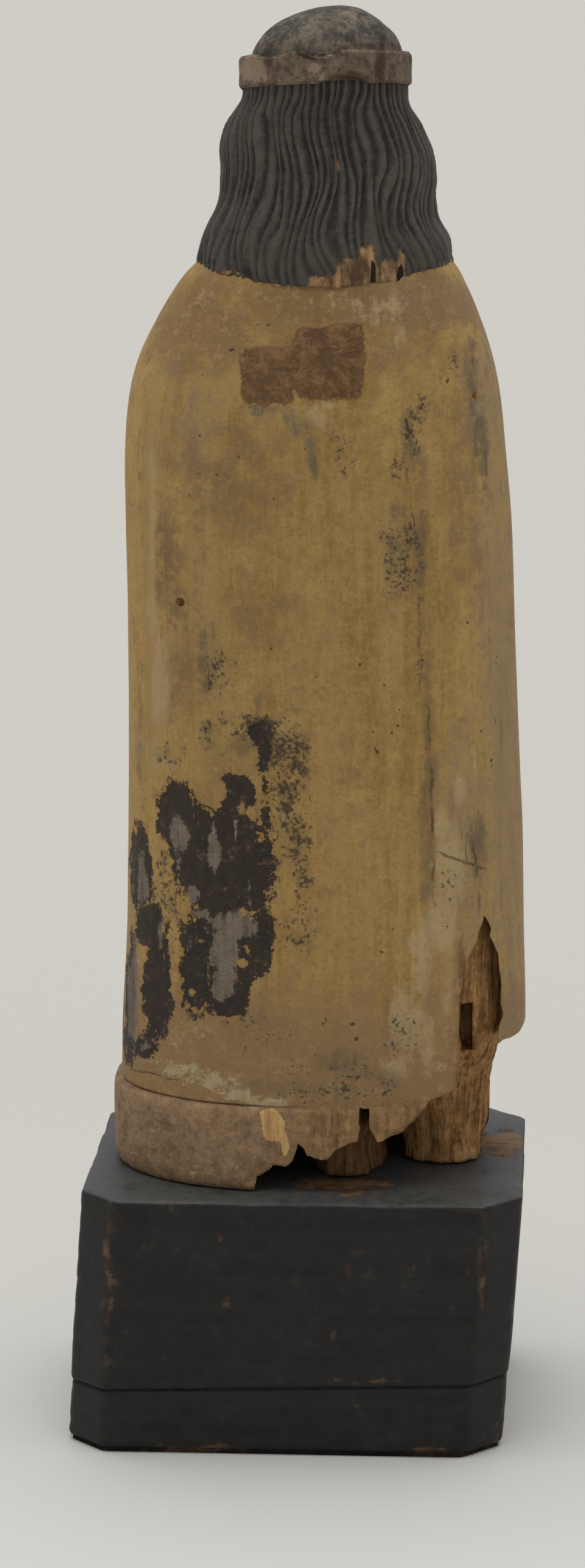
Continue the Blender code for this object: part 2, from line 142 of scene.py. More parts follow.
class Wire:
    def __init__(self, board, socket):
        self.board = board
        self.socket = socket

    def math(self, operation, first, second=0.0):
        return self.board.add("ShaderNodeMath", {"operation": operation}, {0: first, 1: second})

    def __add__(self, other):
        return self.math("ADD", self, other)

    def __sub__(self, other):
        return self.math("SUBTRACT", self, other)

    def __rsub__(self, other):
        return self.math("SUBTRACT", other, self)

    def __mul__(self, other):
        return self.math("MULTIPLY", self, other)

    __radd__ = __add__
    __rmul__ = __mul__

    def most(self, other):
        return self.math("MAXIMUM", self, other)

    def size(self):
        return self.math("ABSOLUTE", self)

    def ramp(self, low, high, start=0.0, end=1.0):
        feeds = {"Value": self, "From Min": low, "From Max": high, "To Min": start, "To Max": end}
        return self.board.add("ShaderNodeMapRange", {"interpolation_type": "SMOOTHSTEP"}, feeds)


class Board:
    def __init__(self, name):
        self.material = bpy.data.materials.new(name)
        self.material.use_nodes = True
        self.tree = self.material.node_tree
        self.shader = self.tree.nodes["Principled BSDF"]
        self.place = self.add("ShaderNodeTexCoord", out="Object")

    def add(self, kind, settings=None, feeds=None, out=0):
        node = self.tree.nodes.new(kind)
        for key, value in (settings or {}).items():
            setattr(node, key, value)
        for key, value in (feeds or {}).items():
            if isinstance(value, Wire):
                self.tree.links.new(value.socket, node.inputs[key])
            else:
                node.inputs[key].default_value = value
        return Wire(self, node.outputs[out])

    # x, y and z of a vector, by default of the place on the piece
    def axes(self, vector=None):
        node = self.add("ShaderNodeSeparateXYZ", feeds={0: vector or self.place}).socket.node
        return [Wire(self, socket) for socket in node.outputs]

    def noise(self, scale, detail=3.0, rough=0.55, stretch=(1, 1, 1), shift=(0, 0, 0), twist=0.0):
        spread = {"Vector": self.place, "Scale": stretch, "Location": shift}
        place = self.add("ShaderNodeMapping", feeds=spread)
        feeds = {"Vector": place, "Scale": scale, "Detail": detail, "Roughness": rough, "Distortion": twist}
        return self.add("ShaderNodeTexNoise", feeds=feeds, out="Fac")

    # Noise round 0, mostly from -0.8 to 0.8.
    def rough(self, *args, **settings):
        return (self.noise(*args, **settings) - 0.5) * 4.0

    def field(self, name):
        return self.add("ShaderNodeAttribute", {"attribute_name": name}, out="Fac")

    def mix(self, share, first, second):
        first, second = (value if isinstance(value, Wire) else (*value, 1) for value in (first, second))
        return self.add("ShaderNodeMix", {"data_type": "RGBA"}, {0: share, 6: first, 7: second}, 2)

    def bump(self, height, depth, strength=1.0):
        feeds = {"Height": height, "Distance": depth, "Strength": strength}
        return self.add("ShaderNodeBump", feeds=feeds)

    # Feeds the shader, with the relief as bump, and gives the finished material.
    def coat(self, colour, roughness, gloss, relief, depth, strength):
        self.feed("Base Color", colour)
        self.feed("Roughness", roughness)
        self.feed("Specular IOR Level", gloss)
        self.feed("Normal", self.bump(relief, depth, strength))
        return self.material

    def feed(self, name, value):
        if isinstance(value, Wire):
            self.tree.links.new(value.socket, self.shader.inputs[name])
        else:
            self.shader.inputs[name].default_value = value


# Numbers that vary over a surface

def smoothStep(low, high, value):
    share = np.clip((value - low) / (high - low), 0, 1)
    return share * share * (3 - 2 * share)


def bell(value, centre, width):
    return np.exp(-(((value - centre) / width) ** 2))


def latticeValue(ix, iy, iz):
    mixed = (ix * 374761393 + iy * 668265263 + iz * 1274126177) & 0x7FFFFFFF
    mixed = ((mixed ^ (mixed >> 13)) * 1103515245) & 0x7FFFFFFF
    return ((mixed ^ (mixed >> 16)) & 0xFFFF) / 65535.0 * 2 - 1


# Smooth noise from -1 to 1, a lump to each unit.
def lumps(x, y, z):
    x, y, z = np.broadcast_arrays(x, y, z)
    base = [np.floor(part).astype(np.int64) for part in (x, y, z)]
    part = [smoothStep(0, 1, value - low) for value, low in zip((x, y, z), base)]
    total = np.zeros(x.shape)
    for dx in (0, 1):
        for dy in (0, 1):
            for dz in (0, 1):
                weight = (part[0] if dx else 1 - part[0]) * (part[1] if dy else 1 - part[1])
                weight = weight * (part[2] if dz else 1 - part[2])
                total += weight * latticeValue(base[0] + dx, base[1] + dy, base[2] + dz)
    return total


# Noise of several sizes, the largest lumps as wide as size, which may differ along x, y and z.
def roughness(points, size, levels=3):
    size = np.array(size, float)
    total, share = 0.0, 1.0
    for level in range(levels):
        scaled = points / (size / 2**level) + 17.3 * level
        total = total + share * lumps(scaled[..., 0], scaled[..., 1], scaled[..., 2])
        share *= 0.5
    return total / 1.75


# The row of a form at this height, on a smooth curve through its rows.
def smoothRow(form, height):
    last = len(form) - 1
    if height <= form[0][0]:
        return form[0][1:]
    if height >= form[last][0]:
        return form[last][1:]
    low = max(i for i in range(last) if form[i][0] <= height)
    span = form[low + 1][0] - form[low][0]
    t = (height - form[low][0]) / span
    values = []
    for k in range(1, len(form[0])):
        slopes = []
        for i in (low, low + 1):
            before, after = max(i - 1, 0), min(i + 1, last)
            slopes.append((form[after][k] - form[before][k]) / (form[after][0] - form[before][0]) * span)
        start, end = form[low][k], form[low + 1][k]
        value = (2 * t**3 - 3 * t**2 + 1) * start + (t**3 - 2 * t**2 + t) * slopes[0]
        values.append(value + (3 * t**2 - 2 * t**3) * end + (t**3 - t**2) * slopes[1])
    return values


roundness = 2.25     # of a section: 2 is an ellipse, more is squarer


def sectionReach(bearing, halfWidth, back, front):
    depth = np.where(np.cos(bearing) > 0, back, front)
    across = (np.abs(np.sin(bearing)) / halfWidth) ** roundness
    along = (np.abs(np.cos(bearing)) / depth) ** roundness
    return (across + along) ** (-1 / roundness)


# Modelling helpers

def mode(name):
    bpy.ops.object.mode_set(mode=name)


def deselectAll():
    if bpy.context.object and bpy.context.object.mode != "OBJECT":
        mode("OBJECT")
    bpy.ops.object.select_all(action="DESELECT")


# Selects the vertices, edges or polygons of a piece that pass a test, and leaves it in edit mode.
def selectParts(piece, kind, wanted):
    bpy.context.view_layer.objects.active = piece
    mode("EDIT")
    bpy.ops.mesh.select_mode(type={"vertices": "VERT", "edges": "EDGE", "polygons": "FACE"}[kind])
    bpy.ops.mesh.select_all(action="DESELECT")
    mode("OBJECT")
    for part in getattr(piece.data, kind):
        part.select = bool(wanted(part))
    mode("EDIT")


def applyModifier(piece, kind, settings):
    bpy.context.view_layer.objects.active = piece
    change = piece.modifiers.new("change", kind)
    for key, value in settings.items():
        setattr(change, key, value)
    bpy.ops.object.modifier_apply(modifier=change.name)


# Bakes an object's place into its mesh.
def settle():
    bpy.ops.object.transform_apply(location=True, rotation=True, scale=True)


# Cuts one piece out of another. The cut's walls keep the cutter's material.
def cut(piece, cutter, material):
    cutter.data.materials.append(material)
    settings = {"object": cutter, "operation": "DIFFERENCE", "solver": "EXACT", "material_mode": "TRANSFER"}
    applyModifier(piece, "BOOLEAN", settings)
    bpy.data.objects.remove(cutter)


def verticesOf(piece):
    flat = np.empty(len(piece.data.vertices) * 3)
    piece.data.vertices.foreach_get("co", flat)
    return flat.reshape(-1, 3)


def moveVertices(piece, points):
    piece.data.vertices.foreach_set("co", points.ravel())
    piece.data.update()


def normalsOf(piece):
    flat = np.empty(len(piece.data.vertices) * 3)
    piece.data.vertices.foreach_get("normal", flat)
    return flat.reshape(-1, 3)


def paintField(piece, name, values):
    field = piece.data.attributes.new(name, "FLOAT", "POINT")
    field.data.foreach_set("value", np.asarray(values, np.float32))


# A grid whose rows become the rings of a carved form, closed at its seam and at both ends.
# place takes a height and the bearings of its ring, and gives x, y and z arrays.
def ringedPiece(name, columns, heights, place):
    deselectAll()
    bpy.ops.mesh.primitive_grid_add(x_subdivisions=columns, y_subdivisions=len(heights) - 1, size=1)
    piece = bpy.context.object
    piece.name = name
    bearings = np.linspace(-math.pi, math.pi, columns + 1)
    rings = np.array([np.stack(np.broadcast_arrays(*place(h, bearings)), axis=-1) for h in heights])
    rings[:, -1] = rings[:, 0]
    moveVertices(piece, rings.reshape(-1, 3))
    mode("EDIT")
    bpy.ops.mesh.select_all(action="SELECT")
    bpy.ops.mesh.remove_doubles(threshold=0.0000005)
    bpy.ops.mesh.fill_holes(sides=0)
    bpy.ops.mesh.normals_make_consistent(inside=False)
    mode("OBJECT")
    bpy.ops.object.shade_smooth()
    return piece


# Gives a piece its materials and joins it to the figure's one body.
def finish(piece, slot, *materials):
    for material in materials:
        piece.data.materials.append(material)
    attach(piece, "root")
    print("made", piece.name, len(piece.data.polygons), "faces")
    return piece


# Where the photo shows wear. Each patch: centre and half size in photo pixels, and its strength.

wear = {
    "flaked": [
        (289, 1340, 28, 56, 1.2), (388, 1304, 33, 30, 1.2), (367, 1413, 74, 84, 1.6),
        (372, 1470, 70, 34, 1.2), (316, 1590, 24, 82, 1), (396, 1596, 15, 76, 1),
        (428, 1538, 22, 60, 0.7), (375, 1660, 28, 15, 1.2), (232, 1424, 20, 68, 1),
        (244, 1520, 22, 34, 1.1), (257, 1626, 24, 84, 1.2), (240, 1718, 24, 20, 1),
        (426, 1416, 24, 60, 0.7), (426, 1208, 20, 18, 0.8), (438, 1246, 8, 40, 0.25),
        (436, 1330, 8, 34, 0.4), (330, 1400, 46, 90, 0.9), (355, 1565, 62, 100, 1.1),
        (270, 1560, 12, 40, 0.4), (215, 1640, 9, 110, 0.9),
    ],
    "kept": [       # paint that is still there inside the flaked parts
        (345, 1302, 28, 26, 1.4), (352, 1322, 10, 10, 1), (399, 1584, 9, 9, 1.4), (272, 1440, 12, 74, 1),
        (282, 1580, 6, 62, 0.9), (316, 1630, 9, 11, 1), (345, 1606, 5, 36, 0.4), (402, 1240, 10, 12, 0.6),
        (396, 1330, 9, 14, 0.4), (270, 1500, 9, 22, 0.6), (262, 1556, 5, 8, 0.5), (330, 1546, 8, 6, 0.5),
    ],
    "greyed": [     # grey under-layer inside the flaked parts
        (296, 1370, 13, 27, 1.2), (349, 1395, 12, 38, 1.3), (386, 1366, 5, 22, 0.7),
        (379, 1522, 42, 26, 1.3), (370, 1562, 28, 50, 1.4), (366, 1622, 18, 32, 1.4),
        (235, 1440, 9, 48, 1.3), (219, 1632, 10, 88, 1.2), (316, 1468, 12, 18, 1),
        (328, 1500, 18, 8, 0.9), (262, 1530, 5, 20, 0.7), (410, 1466, 7, 30, 0.6),
        (392, 1500, 10, 22, 0.6), (306, 1556, 6, 12, 0.7), (300, 1408, 6, 20, 0.4),
        (240, 1712, 10, 10, 0.6),
    ],
    "speckled": [
        (359, 1096, 30, 54, 0.9), (419, 1200, 62, 34, 1), (478, 1257, 40, 80, 1.3),
        (470, 1310, 32, 70, 1.3), (487, 1367, 44, 70, 1.2), (497, 1441, 26, 50, 0.9),
        (486, 1546, 40, 34, 1), (336, 1207, 18, 30, 0.9), (440, 1545, 30, 50, 1), (655, 925, 44, 70, 1),
        (667, 879, 20, 44, 1.1), (657, 765, 22, 34, 1), (678, 712, 16, 54, 1.2), (694, 664, 12, 24, 0.8),
        (657, 1700, 30, 50, 0.8), (280, 1246, 30, 34, 0.7), (497, 1500, 22, 60, 0.8),
        (560, 750, 30, 40, 0.6), (745, 599, 9, 32, 0.8), (736, 1450, 28, 40, 0.6),
        (440, 1400, 26, 110, 1.1), (560, 1790, 120, 60, 0.7), (420, 1700, 60, 40, 0.5),
        (425, 1195, 44, 26, 1.7), (458, 1235, 24, 46, 1.6), (268, 1560, 30, 60, 0.8),
        (372, 1178, 26, 14, 0.9), (689, 1000, 8, 200, 0.6), (330, 1540, 40, 60, 0.9),
        (352, 1100, 24, 40, 1.3), (274, 1450, 22, 90, 1), (350, 1620, 70, 60, 0.8),
    ],
    "scuffed": [
        (560, 500, 60, 14, 0.4), (628, 516, 34, 26, 0.5), (529, 666, 32, 9, 0.8), (510, 680, 38, 28, 0.5),
        (786, 674, 12, 14, 0.8), (655, 540, 12, 30, 0.5), (263, 1115, 17, 90, 1),
        (267, 1257, 24, 18, 0.7), (240, 1230, 20, 40, 0.4), (250, 1010, 14, 50, 0.6),
        (726, 1360, 13, 34, 1.1), (738, 1430, 30, 84, 1.2), (754, 1294, 13, 30, 0.9),
        (731, 1520, 34, 70, 1.2), (667, 1674, 34, 76, 1.2), (690, 1569, 22, 76, 1),
        (650, 1748, 34, 30, 0.9), (700, 1720, 40, 50, 0.7), (780, 1250, 6, 60, 0.6),
        (735, 1640, 20, 60, 0.6), (252, 820, 10, 160, 0.4),
    ],
    "greened": [
        (485, 690, 30, 16, 0.5), (500, 708, 26, 24, 0.8), (512, 734, 15, 30, 1), (514, 764, 8, 24, 1.1),
        (452, 674, 24, 10, 0.5), (415, 668, 14, 14, 0.5), (382, 690, 14, 20, 0.5),
    ],
    "dusky": [      # grey-brown shade; the thin strip at x 702 is painted shade down the valley of a fold
        (772, 618, 18, 74, 1.1), (786, 725, 16, 90, 0.7), (702, 1250, 7, 260, 0.2),
        (396, 1226, 28, 28, 1.2), (786, 1390, 18, 70, 1.2), (690, 980, 10, 160, 0.6),
        (560, 1745, 60, 26, 0.6), (620, 1770, 50, 22, 0.7), (300, 1010, 30, 40, 0.4),
        (672, 730, 14, 80, 0.9), (470, 1790, 120, 18, 0.5), (400, 1290, 110, 120, 0.3),
        (352, 1090, 40, 60, 0.7), (660, 900, 34, 90, 0.7), (268, 900, 12, 110, 0.5),
        (232, 1200, 14, 120, 0.3),
    ],
    "brownedAndShaded": [    # where the ochre has gone reddish brown; the long strip at x 705 is painted shade down the valley of a fold
        (600, 500, 300, 60, 1.3), (330, 530, 130, 90, 1.2), (480, 1790, 330, 120, 1.2),
        (380, 1720, 150, 80, 0.9), (400, 800, 90, 110, 0.6), (280, 900, 24, 120, 0.7),
        (420, 1000, 80, 60, 0.5), (500, 560, 260, 50, 0.6), (705, 1300, 14, 300, 1),
        (760, 780, 40, 200, 0.5), (690, 900, 14, 160, 0.6), (560, 1740, 200, 60, 0.9),
        (300, 760, 40, 80, 0.4), (300, 1110, 60, 60, 0.5),
    ],
    "ashen": [      # where it has gone pinkish grey
        (840, 1150, 62, 640, 1.2), (800, 640, 50, 150, 0.8), (770, 1430, 60, 260, 0.9),
        (700, 500, 120, 40, 0.4), (215, 1600, 20, 160, 0.8), (250, 1240, 24, 60, 0.4),
        (300, 690, 60, 60, 0.3),
    ],
    "broken": [     # whitish broken paint along the hem
        (330, 1768, 60, 14, 0.3), (385, 1792, 40, 10, 0.5), (400, 1803, 34, 9, 1.5),
        (440, 1815, 44, 8, 1.6), (295, 1756, 34, 9, 1.1), (350, 1780, 36, 10, 1.4),
        (391, 1918, 6, 6, 1.2), (321, 1925, 6, 7, 1), (262, 1745, 30, 8, 0.4), (300, 1700, 40, 20, 0.2),
    ],
    "bare": [       # pale new wood
        (446, 1853, 20, 26, 1.2), (462, 1880, 7, 18, 1.2), (438, 1832, 14, 10, 1),
    ],
    "fibrous": [    # worn down to brown fibres above the broken edge
        (540, 1866, 66, 40, 1), (650, 1856, 70, 30, 0.9), (700, 1830, 60, 24, 0.7),
        (600, 1822, 120, 12, 0.3), (755, 1600, 12, 100, 0.8), (748, 1740, 10, 60, 0.7),
        (815, 1650, 14, 50, 0.9), (430, 1940, 30, 22, 0.5),
    ],
}
residue = [     # a square patch of old glue and a lobe at its left, with straighter sides
    (540, 596, 60, 62, 1.4), (440, 617, 46, 48, 1), (575, 540, 22, 10, 0.8),
]

patchWarp = [((0.010, 0.010, 0.016), 9), ((0.004, 0.004, 0.006), 6)]     # size in metres, push in pixels
seamEnd = (485, 1825)       # where the cloak's seam with the base is worn away
paleBelow = (366, 1590)     # below this the grey under-layer is stained pale
residueSquare = 6     # how square a patch of residue is: 2 is an ellipse
frontward = -0.15     # faces whose normal's y is below this are out of the photo's sight


# 1 at a patch's centre, 0 at its edge and -1 away from it, on what faces the camera.
def patchField(points, normals, patches, square=2):
    px, py = photoPixels(points)
    for size, aside in patchWarp:
        aside = aside * (2 / square) ** 2
        px = px + aside * roughness(points, size, 2)
        py = py + aside * roughness(points + 1.0, size, 2)
    value = np.full(len(points), -1.0)
    for x, y, halfWidth, halfHeight, strength in patches:
        away = np.abs((px - x) / halfWidth) ** square + np.abs((py - y) / halfHeight) ** square
        value = np.maximum(value, strength * (1 - away))
    return np.where(normals[:, 1] > frontward, value, -1.0)


pixelsPerMetre = 5500
cracks = [      # from and to, and width, in photo pixels, then strength
    (722, 1402, 797, 1426, 4, 1.1), (781, 1388, 782, 1440, 4.5, 1.1), (783, 1440, 786, 1500, 4, 0.6),
    (757, 1330, 756, 1400, 2, 0.4), (766, 1350, 768, 1420, 1.5, 0.4), (709, 1258, 709, 1380, 4, 0.7),
    (709, 1380, 713, 1500, 3.5, 0.5), (671, 690, 678, 760, 5, 0.3), (666, 760, 668, 800, 4, 0.4),
    (674, 830, 690, 900, 3, 0.4), (688, 980, 692, 1140, 4.5, 0.4), (700, 1140, 707, 1258, 3.5, 0.4),
    (262, 960, 266, 1100, 2, 0.2), (212, 1752, 300, 1776, 3, 0.8), (775, 560, 781, 640, 6, 0.4),
]


# The point of the cloak's back that lies under a photo pixel
def onCloak(px, py):
    ahead, right, up = cameraAxes()
    width, height = camera["photo"]
    roll = camera["roll"]
    u, v = px - width / 2, py - height / 2
    across = u * math.cos(roll) + v * math.sin(roll)
    above = u * math.sin(roll) - v * math.cos(roll)
    ray = ahead * camera["focal"] + right * across + up * above
    y = cloak["form"][0][3] * tall
    for step in range(6):     # each step comes closer to the curved surface
        point = Vector(camera["at"]) + ray * ((y - camera["at"][1]) / ray.y)
        y = cloakBack(point.x / tall, (point.z - floorZ) / tall) * tall
    return point


# Thin wavering lines in the paint of the cloak's back.
def crackLines(board):
    split = board.axes()
    waver = board.rough(130, 3, 0.6) * 0.0008
    breaks = board.rough(220, 4, 0.65)
    soft = 0.002      # metres over which a crack fades at its ends
    total = None
    for fromX, fromY, toX, toY, width, strength in cracks:
        start, end = onCloak(fromX, fromY), onCloak(toX, toY)
        run = Vector((end.x - start.x, end.z - start.z))
        run.normalize()
        x, z = split[0] - start.x, split[2] - start.z
        aside = (x * -run.y + z * run.x + waver).size()
        along = x * run.x + z * run.y
        long = math.hypot(end.x - start.x, end.z - start.z)
        half = 0.5 * width / pixelsPerMetre
        line = aside.ramp(half * 1.8, 0.0) * along.ramp(-soft, soft) * along.ramp(long + soft, long - soft)
        line = line * (breaks * 0.7 + strength).ramp(0.0, 1.0)
        total = line if total is None else total.most(line)
    return total * split[1].ramp(-0.005, 0.005)


def paintWear(piece):
    points, normals = verticesOf(piece), normalsOf(piece)
    for name, patches in wear.items():
        paintField(piece, name, patchField(points, normals, patches))
    paintField(piece, "residue", patchField(points, normals, residue, residueSquare))


# Cloak, robe and carved base: the forms are shares of the figure's height

cloak = {
    "columns": 330,
    "ringGap": 0.0014,
    "baseTop": 0.0725,
    "hem": 0.0745,
    "top": 0.855,
    "base": [   # height, centre towards +X, half width, reach behind, reach in front
        (0.000, -0.0145, 0.1755, 0.1245, 0.124),
        (0.010, -0.0145, 0.1785, 0.1265, 0.126),
        (0.066, -0.0145, 0.1790, 0.1250, 0.125),
        (0.0725, -0.0145, 0.1770, 0.1230, 0.123),
    ],
    "form": [
        (0.0745, -0.019, 0.1765, 0.120, 0.111),
        (0.123, -0.021, 0.1775, 0.119, 0.108),
        (0.210, -0.0225, 0.174, 0.117, 0.105),
        (0.304, -0.0225, 0.172, 0.116, 0.103),
        (0.386, -0.021, 0.1695, 0.114, 0.100),
        (0.483, -0.0193, 0.167, 0.112, 0.096),
        (0.561, -0.0175, 0.166, 0.110, 0.093),
        (0.626, -0.0146, 0.163, 0.106, 0.090),
        (0.673, -0.0143, 0.1585, 0.101, 0.085),
        (0.705, -0.0152, 0.151, 0.0965, 0.079),
        (0.734, -0.0175, 0.1395, 0.090, 0.071),
        (0.766, -0.0205, 0.1235, 0.082, 0.061),
        (0.787, -0.0237, 0.108, 0.075, 0.052),
        (0.808, -0.0240, 0.080, 0.060, 0.044),
        (0.826, -0.0245, 0.046, 0.040, 0.038),
        (0.855, -0.0250, 0.036, 0.036, 0.034),
    ],
    "folds": [  # depth, bearing in degrees, half width, and where it lies
        (-0.0046, 41, 9, "low"), (0.0030, 56, 10, "low"), (-0.0016, 43, 1.6, "crease"),
        (-0.0028, 72, 8, "side"), (-0.0026, -58, 9, "side"), (0.0022, -42, 10, "side"),
    ],
    "carving": {    # how deep each kind of roughness goes, in metres
        "lumps": 0.00022, "grooves": 0.00010, "crust": 0.0003, "crustLumps": 0.00035,
        "flaked": 0.00022, "fibres": 0.0004, "broken": 0.0004,
    },
    "mantleEdge": 0.0028,
    "pleat": 0.0013,
    "trim": 0.0005,
    "nailHoles": [(0.095, 0.506, 0.0013, 0.0016), (-0.153, 0.678, 0.0010, 0.0012)],
}


# Reach of the cloak's back, without its folds, at a place towards +X. All are shares.
def cloakBack(x, height):
    centre, halfWidth, back, front = smoothRow(cloak["form"], height)
    aside = min(0.98, abs(x - centre) / halfWidth)
    return back * (1 - aside**roundness) ** (1 / roundness)


def cloakReach(height, bearing):
    centre, halfWidth, back, front = smoothRow(cloak["form"], height)
    reach = sectionReach(bearing, halfWidth, back, front)
    degrees = np.degrees(bearing)
    low, side, crease = 1 - smoothStep(0.30, 0.62, height), bell(height, 0.45, 0.30), bell(height, 0.38, 0.14)
    strength = {"low": low, "side": side, "crease": crease}
    fold = sum(deep * bell(degrees, at, wide) * strength[where] for deep, at, wide, where in cloak["folds"])
    reach = (reach + fold) * tall
    turn = np.abs(degrees)
    edge = 140 + 10 * height / 0.78
    inside = smoothStep(edge - 0.6, edge + 1.4, turn)
    belowNeck = 1 - smoothStep(0.745, 0.785, height)
    pleats = np.cos(np.radians(degrees) * 36 + 0.8 * math.sin(9 * height)) * inside
    pleats = pleats * (1 - smoothStep(0.56, 0.70, height))
    broad = np.cos(np.radians(turn - edge) * 12) * smoothStep(88, 104, turn) * (1 - inside)
    trim = bell(turn, edge - 2.2, 1.2) * belowNeck
    reach = reach - cloak["mantleEdge"] * inside * belowNeck
    reach = reach + cloak["pleat"] * (pleats * 0.7 + broad * belowNeck * 0.7) + cloak["trim"] * trim
    return centre, reach


def cloakRing(height, bearing):
    if height >= cloak["hem"]:
        centre, reach = cloakReach(height, bearing)
    else:
        centre, halfWidth, back, front = smoothRow(cloak["base"], height)
        reach = sectionReach(bearing, halfWidth, back, front) * tall
        clothCentre, cloth = cloakReach(cloak["hem"], bearing)
        cloth = cloth + (clothCentre - centre) * tall * -np.sin(bearing)
        x = centre - reach * np.sin(bearing) / tall
        # Behind and to the right of the middle, cloak and base have worn into one.
        worn = smoothStep(0.040, 0.012, x) * smoothStep(0.0, 0.3, np.cos(bearing))
        reach = reach * (1 - worn) + (cloth + 0.0006) * worn
        if height > cloak["baseTop"] + 0.0002:
            reach = np.minimum(reach, cloth) - 0.0011 * (1 - worn)
    x = centre * tall - reach * np.sin(bearing)
    y = reach * np.cos(bearing)
    z = np.full_like(x, floorZ + height * tall)
    return x, y, z


# Ring heights: close at the hem, evenly spaced elsewhere.
def cloakHeights():
    gap = cloak["ringGap"] / tall
    heights = list(np.linspace(0, cloak["baseTop"], round(cloak["baseTop"] / gap) + 1))
    heights += [cloak["baseTop"] + 0.0008, cloak["hem"] - 0.0006, cloak["hem"]]
    count = round((cloak["top"] - cloak["hem"]) / gap)
    heights += list(np.linspace(cloak["hem"] + 0.001, cloak["top"], count))
    return heights


# Tool marks, lumps, fibres and lost paint, pushed along the surface's own direction.
def carveCloak(piece):
    points, normals = verticesOf(piece), normalsOf(piece)
    depth = cloak["carving"]
    push = depth["lumps"] * roughness(points, (0.016, 0.016, 0.05))
    push += depth["grooves"] * roughness(points, (0.003, 0.003, 0.03), 2)
    rough = {name: patchField(points, normals, wear[name]) for name in ("flaked", "fibrous", "broken")}
    crust = patchField(points, normals, residue, residueSquare) + 0.3 * roughness(points, 0.003, 2)
    push += smoothStep(0, 0.3, crust) * (depth["crust"] + depth["crustLumps"] * roughness(points, 0.0028, 2))
    push -= depth["flaked"] * smoothStep(-0.05, 0.1, rough["flaked"])
    fibrous = smoothStep(-0.3, 0.5, rough["fibrous"])
    ridges = roughness(points, (0.0035, 0.0035, 0.010), 3)
    push += fibrous * depth["fibres"] * (ridges - 1)
    push += smoothStep(0, 0.4, rough["broken"]) * depth["broken"] * roughness(points, 0.002, 2)
    inner = points[:, 2] > floorZ + 0.002
    moveVertices(piece, points + normals * (push * inner)[:, None])


# Rotted corner

rot = {
    "outline": [    # shares towards +X and up from the figure's floor
        (0.033, -0.010), (0.031, 0.012), (0.017, 0.022), (0.006, 0.021), (0.000, 0.026), (-0.005, 0.042),
        (-0.013, 0.031), (-0.024, 0.028), (-0.031, 0.029), (-0.038, 0.037), (-0.056, 0.044),
        (-0.058, 0.056), (-0.058, 0.074), (-0.066, 0.073), (-0.0665, 0.056), (-0.073, 0.043),
        (-0.090, 0.049), (-0.104, 0.060), (-0.124, 0.079), (-0.133, 0.081), (-0.140, 0.090),
        (-0.143, 0.110), (-0.142, 0.165), (-0.153, 0.207), (-0.163, 0.235), (-0.172, 0.207),
        (-0.176, 0.160), (-0.1755, 0.135), (-0.1765, 0.119), (-0.185, 0.1205), (-0.199, 0.1265),
        (-0.240, 0.134), (-0.240, -0.010),
    ],
    "jag": 0.0012,
    "behind": 0.17,
    "stop": -0.075,
    "steps": 9,
}


# The outline with points between its points, each pushed a little aside.
def raggedOutline():
    points = [np.array(p) for p in rot["outline"]]
    for level in range(2):
        finer = []
        for i, point in enumerate(points):
            after = points[(i + 1) % len(points)]
            middle = (point + after) / 2
            side = np.array((after[1] - point[1], point[0] - after[0]))
            wobble = lumps(middle[0] * 900.0, middle[1] * 900.0, level + 0.5)
            long = math.hypot(*side)
            inside = middle[0] > -0.2 and middle[1] > 0
            push = min(0.22, rot["jag"] / tall / max(long, 0.001)) * wobble * inside
            finer += [point, middle + side * push]
        points = finer
    return points


def rotCutter():
    outline = raggedOutline()
    deselectAll()
    bpy.ops.mesh.primitive_circle_add(vertices=len(outline), radius=1, fill_type="NGON")
    cutter = bpy.context.object
    cutter.name = "rotCutter"
    flat = [(x * tall, rot["behind"] * tall, floorZ + z * tall) for x, z in outline]
    moveVertices(cutter, np.array(flat))
    mode("EDIT")
    bpy.ops.mesh.select_all(action="SELECT")
    step = (rot["stop"] - rot["behind"]) * tall / rot["steps"]
    for i in range(rot["steps"]):
        bpy.ops.mesh.extrude_region_move(TRANSFORM_OT_translate={"value": (0, step, 0)})
    bpy.ops.mesh.select_all(action="SELECT")
    bpy.ops.mesh.normals_make_consistent(inside=False)
    mode("OBJECT")
    points = verticesOf(cutter)
    deep = smoothStep(0.1 * tall, 0.05 * tall, points[:, 1])
    shake = np.stack([roughness(points + k, (0.006, 0.012, 0.006), 2) for k in (0.0, 0.3, 0.7)], axis=-1)
    moveVertices(cutter, points + shake * np.array((0.0016, 0, 0.0016)) * deep[:, None])
    return cutter


core = {
    "post": [       # height, centre towards +X, half width, reach behind, reach in front
        (0.0010, -0.125, 0.034, 0.036, 0.085),
        (0.040, -0.125, 0.039, 0.035, 0.085),
        (0.075, -0.122, 0.045, 0.042, 0.085),
        (0.095, -0.112, 0.062, 0.052, 0.085),
        (0.108, -0.095, 0.082, 0.066, 0.085),
        (0.130, -0.060, 0.124, 0.088, 0.085),
        (0.165, -0.040, 0.146, 0.100, 0.085),
        (0.250, -0.035, 0.147, 0.106, 0.085),
    ],
    "stub": [
        (0.0010, -0.043, 0.035, 0.082, 0.060),
        (0.030, -0.042, 0.033, 0.079, 0.060),
        (0.060, -0.044, 0.033, 0.084, 0.060),
        (0.110, -0.045, 0.028, 0.080, 0.060),
    ],
    "shade": {"post": 0.0, "stub": 0.65},
    "columns": 150,
    "ringGap": 0.0011,
    "holes": [      # centre towards +X, up, half width, half height
        (-0.1470, 0.1310, 0.0058, 0.0235),
    ],
}


